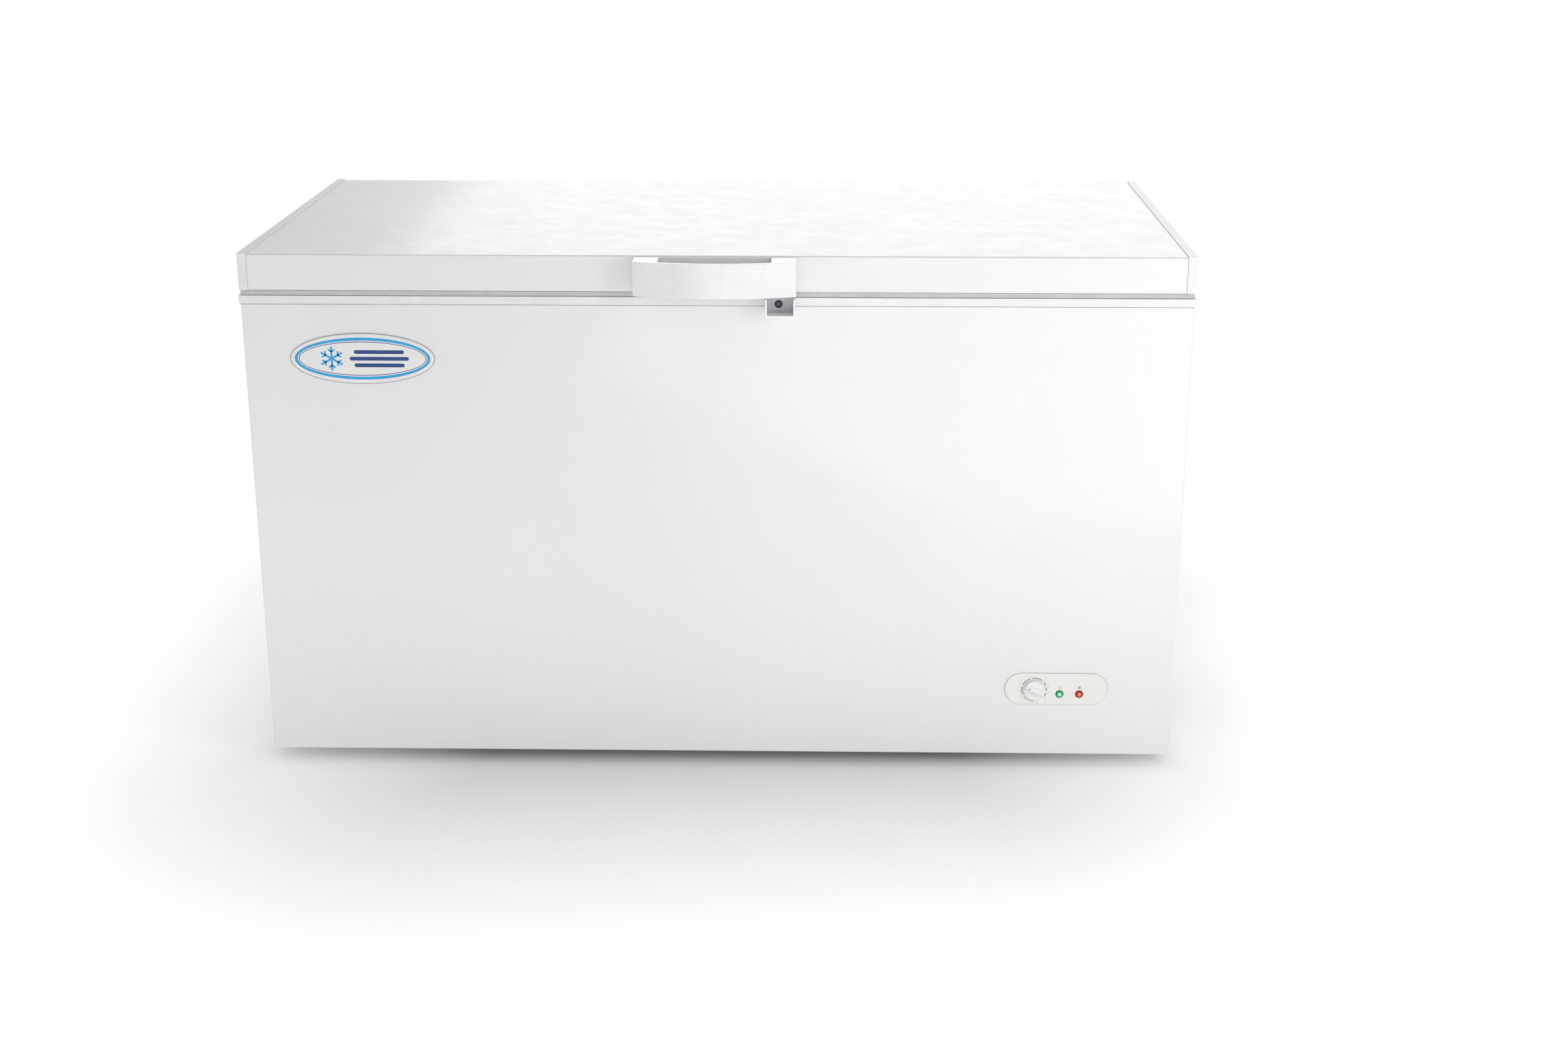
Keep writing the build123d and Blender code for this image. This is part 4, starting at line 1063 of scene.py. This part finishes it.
def baskets():
    """Welded wire baskets with a stout rim, cross bars, and wires down and across the floor."""
    coat = MATERIALS["coated_wire"]
    wire, bar, bar_inset, overhang = 1.75 * MM, 3.0 * MM, 30 * MM, 8.5 * MM

    def u_wire(first, last, rim, level):
        route = [(*first, rim), (*first, level), (*last, level), (*last, rim)]
        return tube_piece("wire", route, wire, coat, bend=18 * MM, sides=6)

    def loop(name, mid_x, mid_y, half_x, half_y, z, radius):
        corners = [(mid_x - half_x, mid_y - half_y, z), (mid_x + half_x, mid_y - half_y, z),
                   (mid_x + half_x, mid_y + half_y, z), (mid_x - half_x, mid_y + half_y, z)]
        return tube_piece(name, corners, radius, coat, closed=True, bend=22 * MM, sides=8)

    for side in ("left", "right"):
        name = "basket_" + side
        low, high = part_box(name)
        mid_x, mid_y, _ = middle_of(low, high)
        half_x, half_y = (high.x - low.x) / 2 - bar, (high.y - low.y) / 2 - overhang
        rim, floor_z = high.z - bar, low.z + wire
        raised = floor_z + wire * 1.2
        parts = []
        for i in range(11):
            x = mid_x - half_x + 2 * half_x * (i + 1) / 12
            parts.append(u_wire((x, mid_y - half_y), (x, mid_y + half_y), rim, floor_z))
        for i in range(19):
            y = mid_y - half_y + 2 * half_y * (i + 1) / 20
            parts.append(u_wire((mid_x - half_x, y), (mid_x + half_x, y), rim, raised))
        for share in (0.28, 0.52, 0.76):
            z = floor_z + (rim - floor_z) * share
            parts.append(loop("ring", mid_x, mid_y, half_x - 0.4 * MM, half_y - 0.4 * MM, z, wire))
        parts.append(loop("rim", mid_x, mid_y, half_x, half_y, rim, bar))
        for x in (low.x + bar + bar_inset - wire, high.x - bar - bar_inset + wire):
            ends = [(x, low.y, rim), (x, high.y, rim)]
            parts.append(tube_piece("bar", ends, bar, coat, sides=10))
        place(join(name + "_wire", parts), name, "coated_wire", name)


# ---------- build
lid_panel()
lid_caps()
gasket()
collar()
handle()
lock()
badge()
control_panel()
knob()
lamps()
screw_heads("screws_cabinet", "cabinet_screws", "cabinet")
screw_heads("screws_lid", "lid_screws", "lid")
feet()
hinge_covers()
side_grille()
baskets()


# ---------- stage
GLOW = 0.5  # how much the light table adds, in full
SHADOW_FADE_REACH = 0.8  # metres from the edge of the painted shadow patch to the full glow
PAINTED_SHADOW_EDGE = (0.39, 0.44)  # half width and half depth of the painted shadow patch, which doesn't glow
FLOOR_HALF = 30.0
SKY, BACKDROP = 0.61, 1.1  # the world's strength as a light, and as the camera sees it
CAMERA_LENS = 50.25
CAMERA_PLACE = (0.17034, LID_FRONT - 3.2917, 1.46978)
CAMERA_DOWN, CAMERA_LEFT = 17.811, 1.144  # degrees from level and from straight ahead
# Place, target, size and power of each studio light.
LIGHTS = {
    "key_right": ((1.6, -1.75, 1.15), (0.3, -0.34, 0.5), (0.9, 0.9), 9.0),
    "fill_low": ((-0.25, -1.8, 0.2), (-0.25, -0.34, 0.15), (1.9, 0.2), 0.55),
    "behind": ((1.82, 4.0, 1.8), (1.82, 0, 1.8), (5.0, 5.4), 74.0),
    "behind_wide": ((0.0, 4.2, 1.8), (0, 0, 1.8), (12.0, 3.6), 31.0),
    "front_low": ((0.63, -1.6, 0.46), (0.63, 0, 0.46), (1.7, 0.92), 8.5),
}


def stage_floor():
    """A pale light table: it glows evenly, except round the object, where the glow fades out into a
    painted shadow.
    """
    s = Shader("studio_floor_paint", (0.9, 0.9, 0.9), 0.6)
    s.mottle((0.9, 0.9, 0.9), (0.91, 0.91, 0.91), 0.4)
    s.set("Specular IOR Level", 0.1)
    s.set("Emission Color", (1, 1, 1, 1))

    def vector_math(operation, source):
        made = s.node("ShaderNodeVectorMath", operation=operation)
        s.link(source.outputs["Vector"], made.inputs[0])
        return made

    centre = s.node("ShaderNodeMapping", {"Location": (0, -(FRONT + BACK) / 2, 0)})
    s.link(s.place, centre.inputs["Vector"])
    beyond = vector_math("SUBTRACT", vector_math("ABSOLUTE", centre))
    beyond.inputs[1].default_value = (*PAINTED_SHADOW_EDGE, 0)
    away = vector_math("LENGTH", vector_math("MAXIMUM", beyond))
    # The glow fades to nothing round the object: a painted shadow.
    glow = s.spread(away.outputs["Value"], 0.0, SHADOW_FADE_REACH, 0.0, GLOW)
    s.link(glow, s.bsdf.inputs["Emission Strength"])
    corners = [(x * FLOOR_HALF, y * FLOOR_HALF, 0) for x, y in ((-1, -1), (1, -1), (1, 1), (-1, 1))]
    floor = from_faces("studio_floor", corners, [(0, 1, 2, 3)], s.material)


def area_light(name, turn=0.0, diffuse=True, glossy=True, spread=180.0):
    """A soft light that the camera doesn't see; it can be kept off diffuse or glossy rays."""
    spot, target, size, power = LIGHTS[name]
    data = bpy.data.lights.new(name, "AREA")
    data.shape = "RECTANGLE"
    data.size, data.size_y = size
    data.energy = power
    data.spread = radians(spread)
    light = add_object(name, data)
    light.location = spot
    aim = (Vector(target) - Vector(spot)).to_track_quat("-Z", "Y")
    light.rotation_euler = (aim @ Quaternion((0, 0, 1), radians(turn))).to_euler()
    light.visible_camera = False
    light.visible_diffuse = diffuse
    light.visible_glossy = glossy


def studio():
    scene = bpy.context.scene
    scene.view_settings.view_transform = "Standard"
    world = bpy.data.worlds.new("studio_world")
    scene.world = world
    world.use_nodes = True
    tree = world.node_tree
    sky = tree.nodes["Background"]
    backdrop = tree.nodes.new("ShaderNodeBackground")
    for light, strength in ((sky, SKY), (backdrop, BACKDROP)):
        light.inputs["Color"].default_value = (1, 1, 1, 1)
        light.inputs["Strength"].default_value = strength
    path = tree.nodes.new("ShaderNodeLightPath")
    mix = tree.nodes.new("ShaderNodeMixShader")
    tree.links.new(path.outputs["Is Camera Ray"], mix.inputs["Fac"])
    tree.links.new(sky.outputs["Background"], mix.inputs[1])
    tree.links.new(backdrop.outputs["Background"], mix.inputs[2])
    tree.links.new(mix.outputs["Shader"], tree.nodes["World Output"].inputs["Surface"])
    area_light("key_right", glossy=False)
    area_light("fill_low", glossy=False, spread=55.0)
    area_light("behind", turn=-40.1, diffuse=False)
    area_light("behind_wide", diffuse=False)
    area_light("front_low", turn=-22.0, diffuse=False)


def camera():
    data = bpy.data.cameras.new("camera")
    data.sensor_width = 36.0
    data.lens = CAMERA_LENS
    data.clip_end = 200.0
    view = add_object("camera", data)
    view.location = CAMERA_PLACE
    view.rotation_euler = (radians(90 - CAMERA_DOWN), 0, radians(CAMERA_LEFT))
    bpy.context.scene.camera = view


stage_floor()
studio()
camera()
